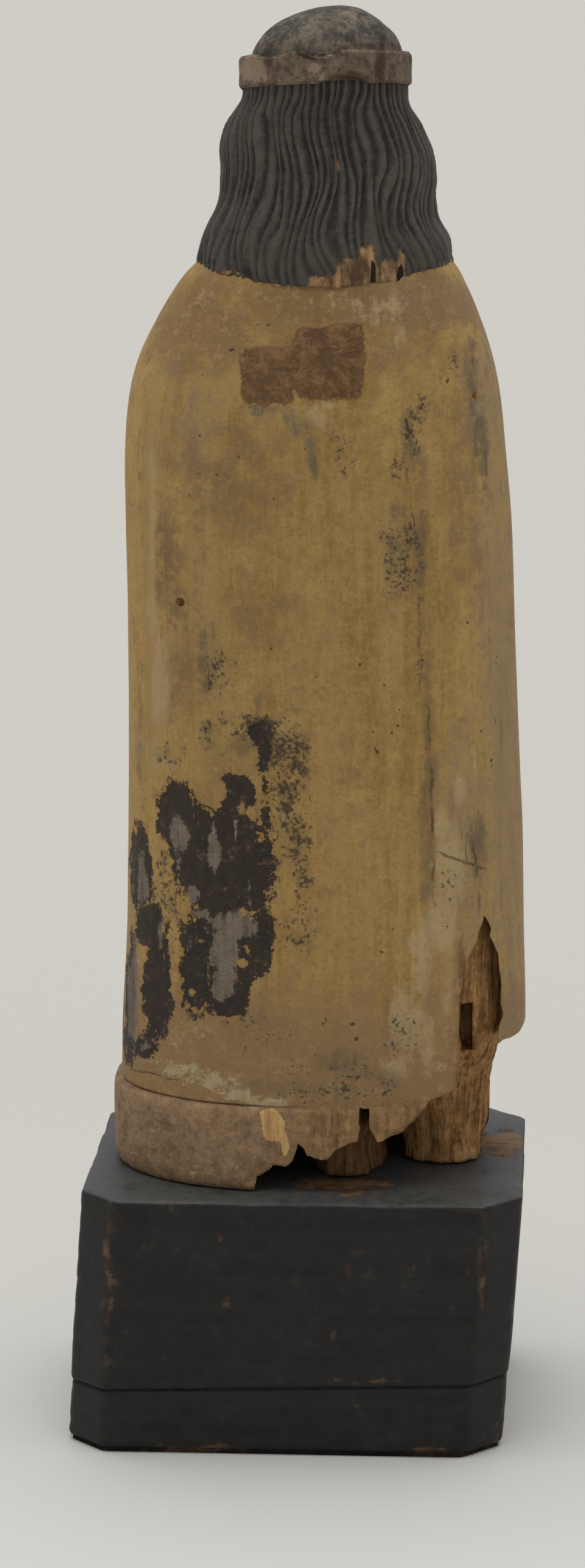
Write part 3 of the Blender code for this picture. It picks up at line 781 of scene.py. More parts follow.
def coreRing(form):
    def place(height, bearing):
        centre, halfWidth, back, front = smoothRow(form, height)
        reach = sectionReach(bearing, halfWidth, back, front) * tall
        x = centre * tall - reach * np.sin(bearing)
        y = reach * np.cos(bearing)
        here = np.stack([x, y, np.full_like(x, height * tall)], axis=-1)
        fibres = roughness(here, (0.0030, 0.0030, 0.030), 3)
        blocks = roughness(here, (0.010, 0.010, 0.016), 2)
        steps = np.floor(blocks * 3) / 3
        reach = reach + 0.0011 * fibres + 0.0016 * steps
        return centre * tall - reach * np.sin(bearing), reach * np.cos(bearing), floorZ + height * tall
    return place


def buildCore(material):
    for name in ("post", "stub"):
        form = core[name]
        count = round((form[-1][0] - form[0][0]) * tall / core["ringGap"])
        heights = np.linspace(form[0][0], form[-1][0], count)
        piece = ringedPiece("rotten_" + name, core["columns"], heights, coreRing(form))
        piece.data.materials.append(material)
        paintField(piece, "shade", np.full(len(piece.data.vertices), core["shade"][name]))
        if name == "post":
            for x, z, halfWidth, halfHeight in core["holes"]:
                deselectAll()
                bpy.ops.mesh.primitive_cube_add(size=1, location=(x * tall, 0.08 * tall, floorZ + z * tall))
                bpy.ops.transform.resize(value=(2 * halfWidth * tall, 0.10 * tall, 2 * halfHeight * tall))
                settle()
                cut(piece, bpy.context.object, material)
        finish(piece, "aged_polychrome")


def buildCloak(painted, rotten):
    piece = ringedPiece("cloak", cloak["columns"], cloakHeights(), cloakRing)
    carveCloak(piece)
    piece.data.materials.append(painted)
    cut(piece, rotCutter(), rotten)
    for x, height, radius, deep in cloak["nailHoles"]:
        y = cloakBack(x, height)
        deselectAll()
        bpy.ops.mesh.primitive_cylinder_add(
            vertices=14, radius=radius, depth=2 * deep,
            location=(x * tall, y * tall, floorZ + height * tall), rotation=(math.pi / 2, 0, 0),
        )
        settle()
        cut(piece, bpy.context.object, rotten)
    paintWear(piece)
    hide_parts("saint_figure")
    return finish(piece, "aged_polychrome")


# Head: hair, cap and face

head = {
    "columns": 480,
    "hairRings": 112,
    "forward": 0.004,
    "strands": 66,
    "strandDepth": 0.00090,
    "edgeLift": 0.011,
    "hair": [
        (0.772, -0.0235, 0.1090, 0.0865, 0.062),
        (0.781, -0.0235, 0.1085, 0.0865, 0.062),
        (0.797, -0.0236, 0.1050, 0.0840, 0.062),
        (0.812, -0.0232, 0.0998, 0.0805, 0.063),
        (0.828, -0.0234, 0.0935, 0.0780, 0.064),
        (0.843, -0.0248, 0.0902, 0.0750, 0.065),
        (0.858, -0.0258, 0.0902, 0.0725, 0.066),
        (0.874, -0.0250, 0.0895, 0.0705, 0.066),
        (0.889, -0.0230, 0.0858, 0.0695, 0.065),
        (0.905, -0.0222, 0.0790, 0.0690, 0.063),
        (0.915, -0.0224, 0.0730, 0.0685, 0.062),
        (0.924, -0.0238, 0.0690, 0.0680, 0.061),
        (0.942, -0.0245, 0.0672, 0.0675, 0.061),
    ],
    "cap": [
        (0.950, -0.0250, 0.0650, 0.0660, 0.060),
        (0.963, -0.0254, 0.0615, 0.0620, 0.056),
        (0.976, -0.0270, 0.0545, 0.0540, 0.049),
        (0.986, -0.0280, 0.0430, 0.0430, 0.039),
        (0.9935, -0.0305, 0.0300, 0.0300, 0.028),
        (0.9985, -0.0340, 0.0160, 0.0150, 0.015),
        (1.000, -0.0355, 0.0040, 0.0040, 0.004),
    ],
    "profile": [    # height, reach of the face's middle line without nose, lips and chin
        (0.800, 0.035),
        (0.842, 0.036),
        (0.852, 0.045),
        (0.858, 0.0585),
        (0.866, 0.0605),
        (0.890, 0.0615),
        (0.917, 0.0625),
        (0.942, 0.0600),
    ],
    "crownRings": [0.9925, 0.9945, 0.9962, 0.9975, 0.9985, 0.9993, 1.0],
    "faceAngle": 44,         # half the face's width, in degrees
    "hairlineAngle": 14,
    "chin": 0.852,
    "faceReach": 0.0615,
    "jawTaper": 3.4,     # millimetres
    "faceAxis": -0.0245,
}

# Face features in millimetres: across from the middle, up from the chin, half width, half height, relief
faceRelief = [
    ("socket", 6.2, 17.6, 4.6, 3.2, -2.2), ("ball", 6.2, 17.2, 3.1, 1.9, 1.9),
    ("lid", 6.2, 18.5, 3.4, 0.5, 0.45), ("under", 6.2, 15.3, 3.0, 0.4, 0.25),
    ("brow", 6.4, 21.0, 4.6, 1.0, 0.80), ("cheek", 8.8, 11.8, 4.4, 4.6, 0.8),
    ("wing", 1.9, 12.0, 1.2, 1.1, 1.1), ("chin", 0.0, 2.6, 3.2, 2.4, 1.1),
    ("upperLip", 1.3, 8.3, 2.2, 0.75, 0.85), ("lowerLip", 0.0, 6.5, 2.6, 0.85, 0.95),
    ("mouth", 0.0, 7.35, 3.6, 0.28, -0.75), ("hollow", 0.0, 4.7, 2.8, 0.7, -0.75),
    ("temple", 13.0, 19.0, 2.6, 4.0, -0.7),
]


# Millimetres across the face from its middle, and up from the chin.
def faceMillimetres(degrees, height):
    across = np.radians(degrees) * head["faceReach"] * tall * 1000
    return across, (height - head["chin"]) * tall * 1000


# Reach of the face, in metres, at degrees from straight ahead.
def faceShape(degrees, height):
    ground = smoothRow(head["profile"], height)[0] * tall
    across, up = faceMillimetres(degrees, height)
    relief = np.zeros_like(across)
    for name, x, z, halfWidth, halfHeight, amount in faceRelief:
        for side in ((-1, 1) if x else (1,)):
            arch = 0.045 * (across - side * x) ** 2 if name in ("lid", "brow") else 0.0
            away = ((across - side * x) / halfWidth) ** 2 + ((up - z + arch) / halfHeight) ** 2
            relief = relief + amount * np.exp(-(away**1.6) * 0.9)
    along = np.clip((20.5 - up) / 9.0, 0, 1)
    bridge = 1.7 + 3.6 * along**1.2
    width = 1.05 + 1.05 * along
    onNose = smoothStep(21.5, 19.0, up) * smoothStep(10.6, 11.6, up)
    relief = relief + bridge * np.exp(-((np.abs(across) / width) ** 2.4)) * onNose
    relief = relief * smoothStep(0.2, 2.0, up)
    jaw = smoothStep(7.0, 15.0, np.abs(across)) * (1 - smoothStep(3.0, 13.0, up)) * smoothStep(-1, 1, up)
    return ground + (relief - head["jawTaper"] * jaw) / 1000


flow = {
    "top": 0.935, "length": 0.16,    # heights between which the locks wave
    "swing": 3.6, "waves": 1.45,     # degrees, and waves from top to end
    "drift": [(2.8, 2.2, 3.4, 3.0), (2.4, 5.0, 4.0, 9.0)],      # degrees, lumps round, lumps down, seed
    "merge": [(0.5, 7.0, 3.0, 5.0), (0.25, 19.0, 5.0, 8.0)],    # strands, lumps round, lumps down, seed
}


# Counts strands round the head. The flow lets them wave, drift and run together.
def strandPhase(bearing, height):
    drop = (flow["top"] - height) / flow["length"]
    sway = flow["swing"] * np.sin(2 * math.pi * (drop * flow["waves"] + 0.10 + 0.16 * np.sin(2.3 * bearing)))
    for much, around, down, seed in flow["drift"]:
        sway = sway + much * lumps(bearing * around, drop * down, seed)
    calm = 0.40 + 0.60 * smoothStep(-0.7, 0.1, np.cos(bearing))      # the locks in front lie quieter
    turned = bearing + np.radians(sway) * smoothStep(0.0, 0.15, drop) * calm
    phase = turned / (2 * math.pi) * head["strands"]
    for much, around, down, seed in flow["merge"]:
        phase = phase + calm * much * lumps(turned * around, drop * down, seed)
    return phase


def headRing(height, bearing):
    onCap = height >= head["cap"][0][0]
    centre, halfWidth, back, front = smoothRow(head["cap" if onCap else "hair"], height)
    hair = sectionReach(bearing, halfWidth, back, front) * tall
    phase = strandPhase(bearing, height)
    ridge = np.abs(np.sin(math.pi * phase)) ** 1.25
    fine = np.abs(np.sin(math.pi * (phase * 2 + 0.3)))
    worn = smoothStep(0.83, 0.785, height) * 0.45 + 0.30 * lumps(bearing * 6.0, height * 45.0, 4.0)
    depth = head["strandDepth"] * (0.28 if onCap else 1.0) * (1 - smoothStep(0.985, 0.998, height))
    relief = depth * (ridge - 0.50) * (1 - np.clip(worn, 0, 0.7)) + 0.16 * depth * fine
    wobble = 0.0004 * lumps(bearing * 4.0, height * 60.0, 2.0)
    x = centre * tall - hair * np.sin(bearing)
    z = np.full_like(x, floorZ + height * tall)
    px, py = photoPixels(np.stack([x, hair * np.cos(bearing), z], axis=-1))
    lost = np.zeros_like(x)
    for patch in rawHair:
        away = ((px - patch[0]) / patch[2]) ** 2 + ((py - patch[1]) / patch[3]) ** 2
        lost = np.maximum(lost, patch[4] * smoothStep(1.2, 0.4, away))
    lost = lost * (np.cos(bearing) > 0)
    hair = hair + relief * (1 - 0.8 * lost) + wobble - 0.0002 * lost
    reach = hair
    fromFront = 180 - np.abs(np.degrees(bearing))
    if not onCap:
        signed = np.where(bearing > 0, fromFront, -fromFront)
        low, high = head["faceAngle"], head["faceAngle"] + head["hairlineAngle"]
        parting = 1.6 * lumps(height * 26.0, np.sign(bearing), 1.0)
        hairline = smoothStep(low + parting, high + parting, fromFront)
        reach = hair * hairline + faceShape(signed, height) * (1 - hairline)
    lift = head["edgeLift"] * np.sin(bearing) ** 2 * (1 - smoothStep(head["hair"][0][0], 0.84, height))
    ends = 0.0042 * lumps(phase, 0.5, 0.5) * (1 - smoothStep(0.772, 0.785, height))
    return (
        centre * tall - reach * np.sin(bearing),
        reach * np.cos(bearing) - head["forward"] * tall,
        floorZ + (height + lift + ends) * tall,
    )


rawHair = [     # bare wood along the hair's lower edge, in photo pixels
    (545, 470, 44, 14, 1), (588, 458, 42, 32, 1.3), (603, 430, 14, 28, 1.1), (640, 452, 22, 28, 1.1),
    (622, 476, 40, 10, 0.9), (698, 468, 40, 13, 1), (727, 458, 16, 14, 0.9), (512, 479, 24, 6, 0.8),
    (553, 273, 3, 11, 1), (660, 468, 16, 12, 0.8), (565, 450, 18, 10, 0.5), (440, 470, 50, 4, 0.6),
    (360, 452, 30, 4, 0.6), (655, 420, 7, 14, 0.4), (738, 440, 8, 10, 0.5),
]
splitHair = [
    (612, 455, 4, 28, 1.4), (700, 484, 34, 4, 0.8), (655, 455, 6, 22, 0.5), (640, 482, 14, 5, 0.7),
    (585, 482, 16, 4, 0.5),
]


# Painted features in millimetres: across, up from the chin, half width, half height, and bend
facePaint = [
    ("lips", 0.0, 7.4, 3.9, 1.75, 0.0), ("blush", 8.8, 11.2, 4.6, 4.2, 0.0),
    ("brows", 6.4, 21.6, 4.8, 0.62, 0.05), ("lashes", 6.4, 16.5, 3.3, 0.42, -0.055),
]


def paintHead(piece):
    points, normals = verticesOf(piece), normalsOf(piece)
    bearing = np.arctan2(-(points[:, 0] - head["faceAxis"] * tall), points[:, 1] + head["forward"] * tall)
    height = (points[:, 2] - floorZ) / tall
    phase = strandPhase(bearing, height)
    paintField(piece, "ridge", np.abs(np.sin(math.pi * phase)) ** 1.25)
    paintField(piece, "raw", patchField(points, normals, rawHair))
    paintField(piece, "split", patchField(points, normals, splitHair))
    fromFront = 180 - np.abs(np.degrees(bearing))
    face = 1 - smoothStep(head["faceAngle"] + 1, head["faceAngle"] + 5, fromFront)
    face = face * (height > 0.79) * (height < 0.948)
    paintField(piece, "skin", face)
    across, up = faceMillimetres(np.where(bearing > 0, fromFront, -fromFront), height)
    for name, x, z, halfWidth, halfHeight, bend in facePaint:
        side = np.abs(across) - x
        spot = 1 - (side / halfWidth) ** 2 - ((up - z + bend * side**2) / halfHeight) ** 2
        paintField(piece, name, np.where(face > 0.5, spot, -1))


def buildHead(material):
    low, browRow = head["hair"][0][0], head["hair"][-1][0]
    heights = list(np.linspace(low, browRow, head["hairRings"]))
    heights += list(np.linspace(0.9435, 0.9495, 3))
    heights += list(np.linspace(head["cap"][0][0], 0.990, 22))
    heights += head["crownRings"]
    piece = ringedPiece("head_and_hair", head["columns"], heights, headRing)
    points, normals = verticesOf(piece), normalsOf(piece)
    hairOnly = points[:, 1] > -0.008
    push = 0.00012 * roughness(points, (0.002, 0.002, 0.004), 2) * hairOnly
    moveVertices(piece, points + normals * push[:, None])
    paintHead(piece)
    return finish(piece, "aged_polychrome", material)


# Band round the head

band = {
    "bottom": 0.9315,
    "top": 0.9590,
    "centre": -0.0243,
    "halfWidth": 0.0737,
    "back": 0.0765,
    "front": 0.0700,
    "tilt": math.radians(5),
    "roll": math.radians(1.6),
    "facets": 14,
    "chips": [   # centre and half size in photo pixels, and how deep in metres
        (528, 84, 34, 7, 0.0012), (560, 134, 44, 8, 0.0009), (445, 90, 30, 8, 0.0008),
        (625, 100, 7, 40, 0.0003), (505, 94, 18, 5, 0.0010), (672, 150, 12, 6, 0.0005),
        (684, 84, 8, 6, 0.0005), (480, 120, 26, 10, 0.0003),
    ],
    "pale": [
        (416, 118, 22, 28, 1.2), (570, 77, 78, 6, 1), (518, 118, 16, 16, 0.8), (470, 84, 40, 5, 0.7),
    ],
    # Dark stains; the strip along the band's lower left edge is painted shade on its underside.
    "stained": [
        (625, 105, 12, 34, 1), (575, 130, 34, 12, 1), (440, 104, 10, 14, 0.8), (510, 96, 20, 4, 0.8),
        (405, 148, 26, 5, 1),
    ],
}


# A ring with flat facets, a little higher behind than in front.
def bandRing(height, bearing):
    facet = 2 * math.pi / band["facets"]
    middle = (np.floor(bearing / facet) + 0.5) * facet
    corners = []
    for side in (-0.5, 0.5):
        turn = middle + side * facet
        reach = sectionReach(turn, band["halfWidth"], band["back"], band["front"])
        corners.append(np.stack([-reach * np.sin(turn), reach * np.cos(turn)], axis=-1))
    way = np.stack([-np.sin(bearing), np.cos(bearing)], axis=-1)
    run = corners[1] - corners[0]
    cross = corners[0][:, 0] * run[:, 1] - corners[0][:, 1] * run[:, 0]
    reach = cross / (way[:, 0] * run[:, 1] - way[:, 1] * run[:, 0])
    share = (height - band["bottom"]) / (band["top"] - band["bottom"])
    rounding = 0.0020 * (smoothStep(0.10, 0.0, share) + smoothStep(0.90, 1.0, share))
    reach = (reach - rounding) * tall
    inner = share < -0.01 or share > 1.01
    if inner:
        reach = reach * 0.80
    x = band["centre"] * tall - reach * np.sin(bearing)
    y = reach * np.cos(bearing)
    level = min(max(height, band["bottom"]), band["top"])
    rise = y * math.tan(band["tilt"]) - (x - band["centre"] * tall) * math.tan(band["roll"])
    return x, y - head["forward"] * tall, floorZ + level * tall + rise


def buildBand(material):
    span = band["top"] - band["bottom"]
    heights = [band["bottom"] - 0.02 * span]
    heights += list(band["bottom"] + span * np.linspace(0, 1, 22))
    heights += [band["top"] + 0.02 * span]
    piece = ringedPiece("head_band", band["facets"] * 26, heights, bandRing)
    points, normals = verticesOf(piece), normalsOf(piece)
    push = 0.00022 * roughness(points, (0.007, 0.007, 0.004), 3) - 0.0001
    for x, y, halfWidth, halfHeight, deep in band["chips"]:
        field = patchField(points, normals, [(x, y, halfWidth, halfHeight, 1)])
        push = push - deep * smoothStep(-0.1, 0.35, field + 0.35 * roughness(points, 0.003, 2))
    moveVertices(piece, points + normals * push[:, None])
    applyModifier(piece, "EDGE_SPLIT", {"split_angle": math.radians(50)})
    applyModifier(piece, "WELD", {"merge_threshold": 0.00001})
    bpy.context.view_layer.objects.active = piece
    piece.select_set(True)
    bpy.ops.object.shade_smooth_by_angle(angle=math.radians(38))
    points, normals = verticesOf(piece), normalsOf(piece)
    for name in ("pale", "stained"):
        paintField(piece, name, patchField(points, normals, band[name]))
    return finish(piece, "aged_polychrome", material)


# Hands, sleeves and shoes, on the side that the photo doesn't show

arms = {
    "centre": -0.0175,
    "elbow": (0.104, -0.042, 0.505),
    "cuff": (0.026, -0.088, 0.606),
    "sleeve": [(0.0, 0.038, 0.038), (0.3, 0.0385, 0.036), (0.55, 0.038, 0.034), (0.8, 0.032, 0.031),
               (0.93, 0.029, 0.029), (0.985, 0.0285, 0.0285), (1.0, 0.027, 0.027)],
    "handsFoot": (-0.0175, -0.091, 0.605),
    "handsTip": (-0.0175, -0.083, 0.708),
    "hands": [(-0.25, 0.0143, 0.0176), (0.0, 0.015, 0.0187), (0.30, 0.015, 0.022), (0.55, 0.0135, 0.0209),
              (0.85, 0.0113, 0.0165), (0.96, 0.008, 0.011), (1.0, 0.0035, 0.004)],
    "parting": 0.30,         # depths of the carving, in shares of the piece's own thickness
    "fingers": 0.20,
    "fingerGaps": (-0.5, 0.0, 0.5),
    "thumb": 0.16,
    "sleeveFolds": (0.075, 0.04),
    "cuffRim": 0.09,
    "shoe": (0.040, -0.098),
    "shoeSize": (0.022, 0.028, 0.019),
}


def inFigure(place):
    return Vector(place) * tall + Vector((0, 0, floorZ))


def limbPiece(name, start, end, sections, columns, rings, relief):
    start, end = inFigure(start), inFigure(end)
    along = (end - start).normalized()
    side = along.cross(Vector((0, 1, 0))).normalized()
    deep = np.array(side.cross(along))
    side = np.array(side)

    def place(share, bearing):
        halfWidth, halfDepth = smoothRow(sections, share)
        middle = np.array(start.lerp(end, share))
        grow = 1 + relief(share, bearing)
        across = (halfWidth * tall * grow * np.cos(bearing))[:, None] * side
        points = middle + across + (halfDepth * tall * grow * np.sin(bearing))[:, None] * deep
        return points[:, 0], points[:, 1], points[:, 2]

    return ringedPiece(name, columns, np.linspace(sections[0][0], sections[-1][0], rings), place)


# A parting between the palms, and grooves between the fingers.
def handRelief(share, bearing):
    parting = arms["parting"] * bell(np.cos(bearing), 0, 0.09)
    spread = np.sin(bearing)
    gaps = sum(bell(spread, at, 0.06) for at in arms["fingerGaps"])
    fingers = arms["fingers"] * gaps * smoothStep(0.38, 0.55, share)
    knuckles = 0.03 * bell(share, 0.45, 0.04) + 0.02 * bell(share, 0.68, 0.03)
    thumb = arms["thumb"] * bell(np.abs(spread), 0.86, 0.10) * bell(share, 0.28, 0.16)
    return knuckles + thumb - parting - fingers


def sleeveRelief(share, bearing):
    broad, narrow = arms["sleeveFolds"]
    folds = broad * np.sin(5 * bearing + 7 * share) + narrow * np.sin(9 * bearing - 11 * share)
    cuff = arms["cuffRim"] * bell(share, 0.95, 0.025)
    return folds * (1 - smoothStep(0.85, 0.97, share)) + cuff


def buildArms(clothPaint, skinPaint):
    for side, name in ((1, "left"), (-1, "right")):
        elbow = (arms["centre"] + side * arms["elbow"][0], *arms["elbow"][1:])
        cuff = (arms["centre"] + side * arms["cuff"][0], *arms["cuff"][1:])
        sleeve = limbPiece(name + "_sleeve", elbow, cuff, arms["sleeve"], 72, 60, sleeveRelief)
        paintWear(sleeve)
        finish(sleeve, "aged_polychrome", clothPaint)
        buildShoe(side, name, skinPaint["shoe"])
    hands = limbPiece("joined_hands", arms["handsFoot"], arms["handsTip"], arms["hands"], 96, 80, handRelief)
    finish(hands, "aged_polychrome", skinPaint["skin"])


def buildShoe(side, name, material):
    deselectAll()
    x, y = arms["shoe"]
    at = inFigure((side * x + cloak["form"][0][1], y, cloak["baseTop"]))
    bpy.ops.mesh.primitive_uv_sphere_add(segments=32, ring_count=18, radius=1, location=at)
    shoe = bpy.context.object
    shoe.name = name + "_shoe"
    size = [part * tall for part in arms["shoeSize"]]
    bpy.ops.transform.resize(value=size, center_override=at)
    settle()
    selectParts(shoe, "polygons", lambda f: f.center.z < at.z - 0.0002)
    bpy.ops.transform.resize(value=(1.04, 1.04, 0.15), center_override=at)
    mode("OBJECT")
    bpy.ops.object.shade_smooth()
    finish(shoe, "aged_polychrome", material)


# Plinth

plinth = {
    "cut": 0.011,
    "lean": 0.0055,
    "edge": 0.0012,
    "voxel": 0.00115,
    "uneven": 0.00022,
    "jointSlope": 0.030,     # the board is a wedge, thicker towards -X
    "jointLap": 0.0005,
}


# A box with clipped corners, leaned a little, its edges rounded and rubbed.
def plinthPiece(name, low, high, lean):
    width = high.x - low.x - lean
    depth = high.y - low.y
    deselectAll()
    bpy.ops.mesh.primitive_cube_add(size=1, location=(low + high) / 2)
    piece = bpy.context.object
    piece.name = name
    bpy.ops.transform.resize(value=(width, depth, high.z - low.z))
    settle()
    ends = [v.co.copy() for v in piece.data.vertices]
    selectParts(piece, "edges", lambda e: abs(ends[e.vertices[0]].z - ends[e.vertices[1]].z) > 0.001)
    bpy.ops.mesh.bevel(offset=plinth["cut"], segments=1)
    middle = (low.z + high.z) / 2
    for side in (1, -1):
        mode("OBJECT")
        level = [v.co.z for v in piece.data.vertices]
        selectParts(piece, "vertices", lambda v: (level[v.index] - middle) * side > 0)
        bpy.ops.transform.translate(value=(-side * lean / 2, 0, 0))
    mode("OBJECT")
    applyModifier(piece, "BEVEL", {"width": plinth["edge"], "segments": 3, "limit_method": "ANGLE"})
    applyModifier(piece, "REMESH", {"mode": "VOXEL", "voxel_size": plinth["voxel"], "use_smooth_shade": True})
    points, normals = verticesOf(piece), normalsOf(piece)
    dents = np.maximum(roughness(points, (0.012, 0.012, 0.006), 3), 0)
    corner = edgeNearness(points, low, high, lean)
    push = -plinth["uneven"] * (1 + roughness(points, (0.03, 0.03, 0.012), 2)) - 0.0009 * dents * corner
    underEdge = smoothStep(0.0032, 0.0, points[:, 2] - boardLow.z) ** 2 * (np.abs(normals[:, 2]) < 0.95)
    push = push - 0.0022 * underEdge
    flat = points[:, 2] < boardLow.z + 0.0001
    moved = points + normals * (push * ~flat)[:, None]
    moved[:, 2] = np.clip(moved[:, 2], low.z, high.z)
    jointZ = blockLow.z
    nearJoint = smoothStep(0.008, 0.002, np.abs(moved[:, 2] - jointZ))
    toJoint = np.where(name.endswith("board"), 1.0, -1.0) * plinth["jointLap"]
    moved[:, 2] += nearJoint * (toJoint - plinth["jointSlope"] * moved[:, 0])
    moveVertices(piece, moved)
    paintField(piece, "edge", corner)
    return piece


# 1 on an outer edge of the plinth and 0 a few millimetres from it.
def edgeNearness(points, low, high, lean):
    share = (points[:, 2] - low.z) / (high.z - low.z)
    x = points[:, 0] - (low.x + high.x) / 2 + lean * (share - 0.5)
    y = points[:, 1] - (low.y + high.y) / 2
    halfX, halfY = (high.x - low.x - lean) / 2, (high.y - low.y) / 2
    side = np.minimum(halfX - np.abs(x), halfY - np.abs(y))
    clipped = (halfX + halfY - plinth["cut"] - np.abs(x) - np.abs(y)) / math.sqrt(2)
    top = np.minimum(points[:, 2] - boardLow.z, blockHigh.z - points[:, 2])
    walls = np.sort(np.stack([halfX - np.abs(x), halfY - np.abs(y), clipped, top], axis=-1), axis=-1)
    return smoothStep(0.0045, 0.0, walls[:, 0] + walls[:, 1]) * (side > -1)


def buildPlinth(material):
    total = blockHigh.z - boardLow.z
    for name, node, low, high in (
        ("block", "plinth_block", blockLow, blockHigh),
        ("board", "plinth_board", boardLow, boardHigh),
    ):
        lean = plinth["lean"] * (high.z - low.z) / total
        piece = plinthPiece("black_" + name, low, high, lean)
        points, normals = verticesOf(piece), normalsOf(piece)
        paintField(piece, "rubbed", patchField(points, normals, rubbed))
        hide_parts(node)
        finish(piece, "black_painted_wood", material)


rubbed = [      # worn to brown on the plinth, in photo pixels
    (826, 1880, 50, 26, 2.2), (570, 1946, 92, 20, 1.8), (765, 1990, 40, 9, 1), (787, 2110, 8, 90, 0.9),
    (176, 2060, 9, 70, 0.7), (176, 2160, 8, 40, 0.8), (190, 2000, 16, 16, 0.6), (720, 2388, 70, 12, 1.2),
    (640, 2392, 60, 7, 0.9), (540, 2270, 40, 5, 0.6), (620, 2272, 60, 4, 0.7), (300, 2384, 120, 12, 0.7),
    (360, 2030, 8, 12, 0.7), (372, 2140, 9, 14, 0.5), (570, 2090, 8, 9, 0.6), (290, 2262, 12, 10, 0.6),
    (550, 2195, 12, 16, 0.4), (500, 1980, 60, 5, 0.5), (280, 2240, 20, 20, 0.4),
]


# Finishes

# Ochre paint over gesso and wood: streaked, rubbed, spotted, flaked to black and grey.
def paintedCloth():
    b = Board("wornOchrePaint")
    streak = b.rough(1.0, 6, 0.68, (260, 260, 18))
    wide = b.rough(1.0, 5, 0.6, (80, 80, 14), (0.3, 0, 0), 0.6)
    scratch = b.rough(1.0, 3, 0.6, (800, 800, 45))
    blotch = b.rough(70, 6, 0.65)
    middle = b.rough(150, 5, 0.7)
    crisp = b.rough(330, 6, 0.7)
    fine = b.rough(1000, 3, 0.6)
    edge = middle * 0.45 + crisp * 0.50 + fine * 0.25 + streak * 0.15
    x, y, height = b.axes()
    hem = floorZ + cloak["hem"] * tall

    # Painted light: the cloak's sides are painted lighter than its middle, where they turn to the bright
    # room.
    sides = (x - cloak["form"][6][1] * tall).size().ramp(0.030, 0.054)
    tone = streak * 0.40 + crisp * 0.45 + wide * 0.40 + fine * 0.25 + scratch * 0.15 + sides * 0.35
    colour = b.mix(tone.ramp(-0.7, 0.7), ochre["deep"], ochre["light"])
    colour = b.mix((wide + crisp * 0.3).ramp(-0.1, 0.7) * 0.5, colour, ochre["tan"])
    low = height.ramp(hem + 0.055, hem + 0.010)
    # Reddish brown where the ochre has browned and towards the hem, with painted shade down the valley of a
    # fold.
    brownishAndShaded = b.field("brownedAndShaded").most(low * 1.1 - 0.4)
    brown = brownishAndShaded * 0.7 + middle * 0.65 + crisp * 0.55 + streak * 0.45 + blotch * 0.3 - 0.1
    colour = b.mix(brown.ramp(-0.45, 0.75) * 0.78, colour, ochre["brown"])
    earthy = (low * 1.2 + middle * 0.6 + crisp * 0.5 + streak * 0.3 - 0.45).ramp(-0.4, 0.8)
    colour = b.mix(earthy * 0.7, colour, ochre["hemBrown"])
    yellow = (middle * 0.7 + crisp * 0.8 + fine * 0.3 + brownishAndShaded * 0.35 + low * 0.1).ramp(0.3, 1.4)
    colour = b.mix(yellow * 0.75, colour, ochre["yellow"])
    ash = (b.field("ashen") * 0.6 + streak * 0.5 + crisp * 0.4 + middle * 0.35 - 0.05).ramp(-0.35, 0.7)
    colour = b.mix(ash * 0.62, colour, ochre["ash"])
    reddish = (blotch * 0.6 + middle * 0.4 + fine * 0.3).ramp(0.2, 0.9)
    colour = b.mix(reddish * 0.45, colour, ochre["reddish"])
    streaky = scratch * 0.5 + streak * 0.6 + b.field("ashen") * 0.3 + crisp * 0.2 - 0.35
    colour = b.mix(streaky.ramp(-0.1, 0.8) * 0.5, colour, ochre["dusk"])
    grime = (crisp * 0.7 + blotch * 0.4 + fine * 0.5 + scratch * 0.3).ramp(0.45, 1.2)
    colour = b.mix(grime * 0.65, colour, ochre["grime"])
    scuff = (b.field("scuffed") * 0.8 + streak * 0.55 + crisp * 0.55 + middle * 0.4 - 0.1).ramp(-0.15, 0.75)
    colour = b.mix(scuff * 0.75, colour, ochre["pale"])
    # Grey-brown patches, with painted shade down the valley of a fold.
    shade = b.field("dusky").most(b.field("speckled") * 0.55 - 0.15)
    dusky = (shade * 0.8 + streak * 0.5 + crisp * 0.5 + middle * 0.4).ramp(-0.1, 0.9)
    colour = b.mix(dusky * 0.65, colour, ochre["dusk"])
    green = (b.field("greened") * 0.8 + streak * 0.6 + crisp * 0.6 + middle * 0.4 - 0.05).ramp(-0.15, 0.8)
    colour = b.mix(green * 0.72, colour, ochre["green"])
    residue = (b.field("residue") + edge * 1.1).ramp(-0.15, 0.35)
    swirl = b.noise(60, 3, 0.6, twist=1.4) * 55.0
    swirl = b.add("ShaderNodeMath", {"operation": "SINE"}, {0: swirl}).ramp(0.0, 1.0)
    crust = (crisp + swirl * 0.35 + middle * 0.9 + 0.08).ramp(-0.6, 1.0)
    crust = b.mix(crust, ochre["crustDark"], ochre["crustLight"])
    colour = b.mix(residue * (crisp + middle * 0.5).ramp(-0.9, 0.2, 0.60, 0.90), colour, crust)

    spots = b.rough(900, 2, 0.5)
    specks = (b.field("speckled") * 0.55 + spots * 0.6 + crisp * 0.6 + middle * 0.25 - 0.58).ramp(-0.2, 0.4)
    stray = (b.rough(430, 1, 0.5) + b.rough(40, 2) * 0.3 - 1.12).ramp(-0.02, 0.1)
    colour = b.mix(specks.most(stray) * 0.85, colour, ochre["speck"])
    cracked = crackLines(b)
    colour = b.mix(cracked * 0.75, colour, ochre["crack"])
    broken = (b.field("broken") + crisp * 0.7 + fine * 0.5 + middle * 0.2 - 0.15).ramp(-0.1, 0.7)
    colour = b.mix(broken * 0.85, colour, b.mix(crisp.ramp(-0.6, 0.6), ochre["pale"], ochre["gesso"]))

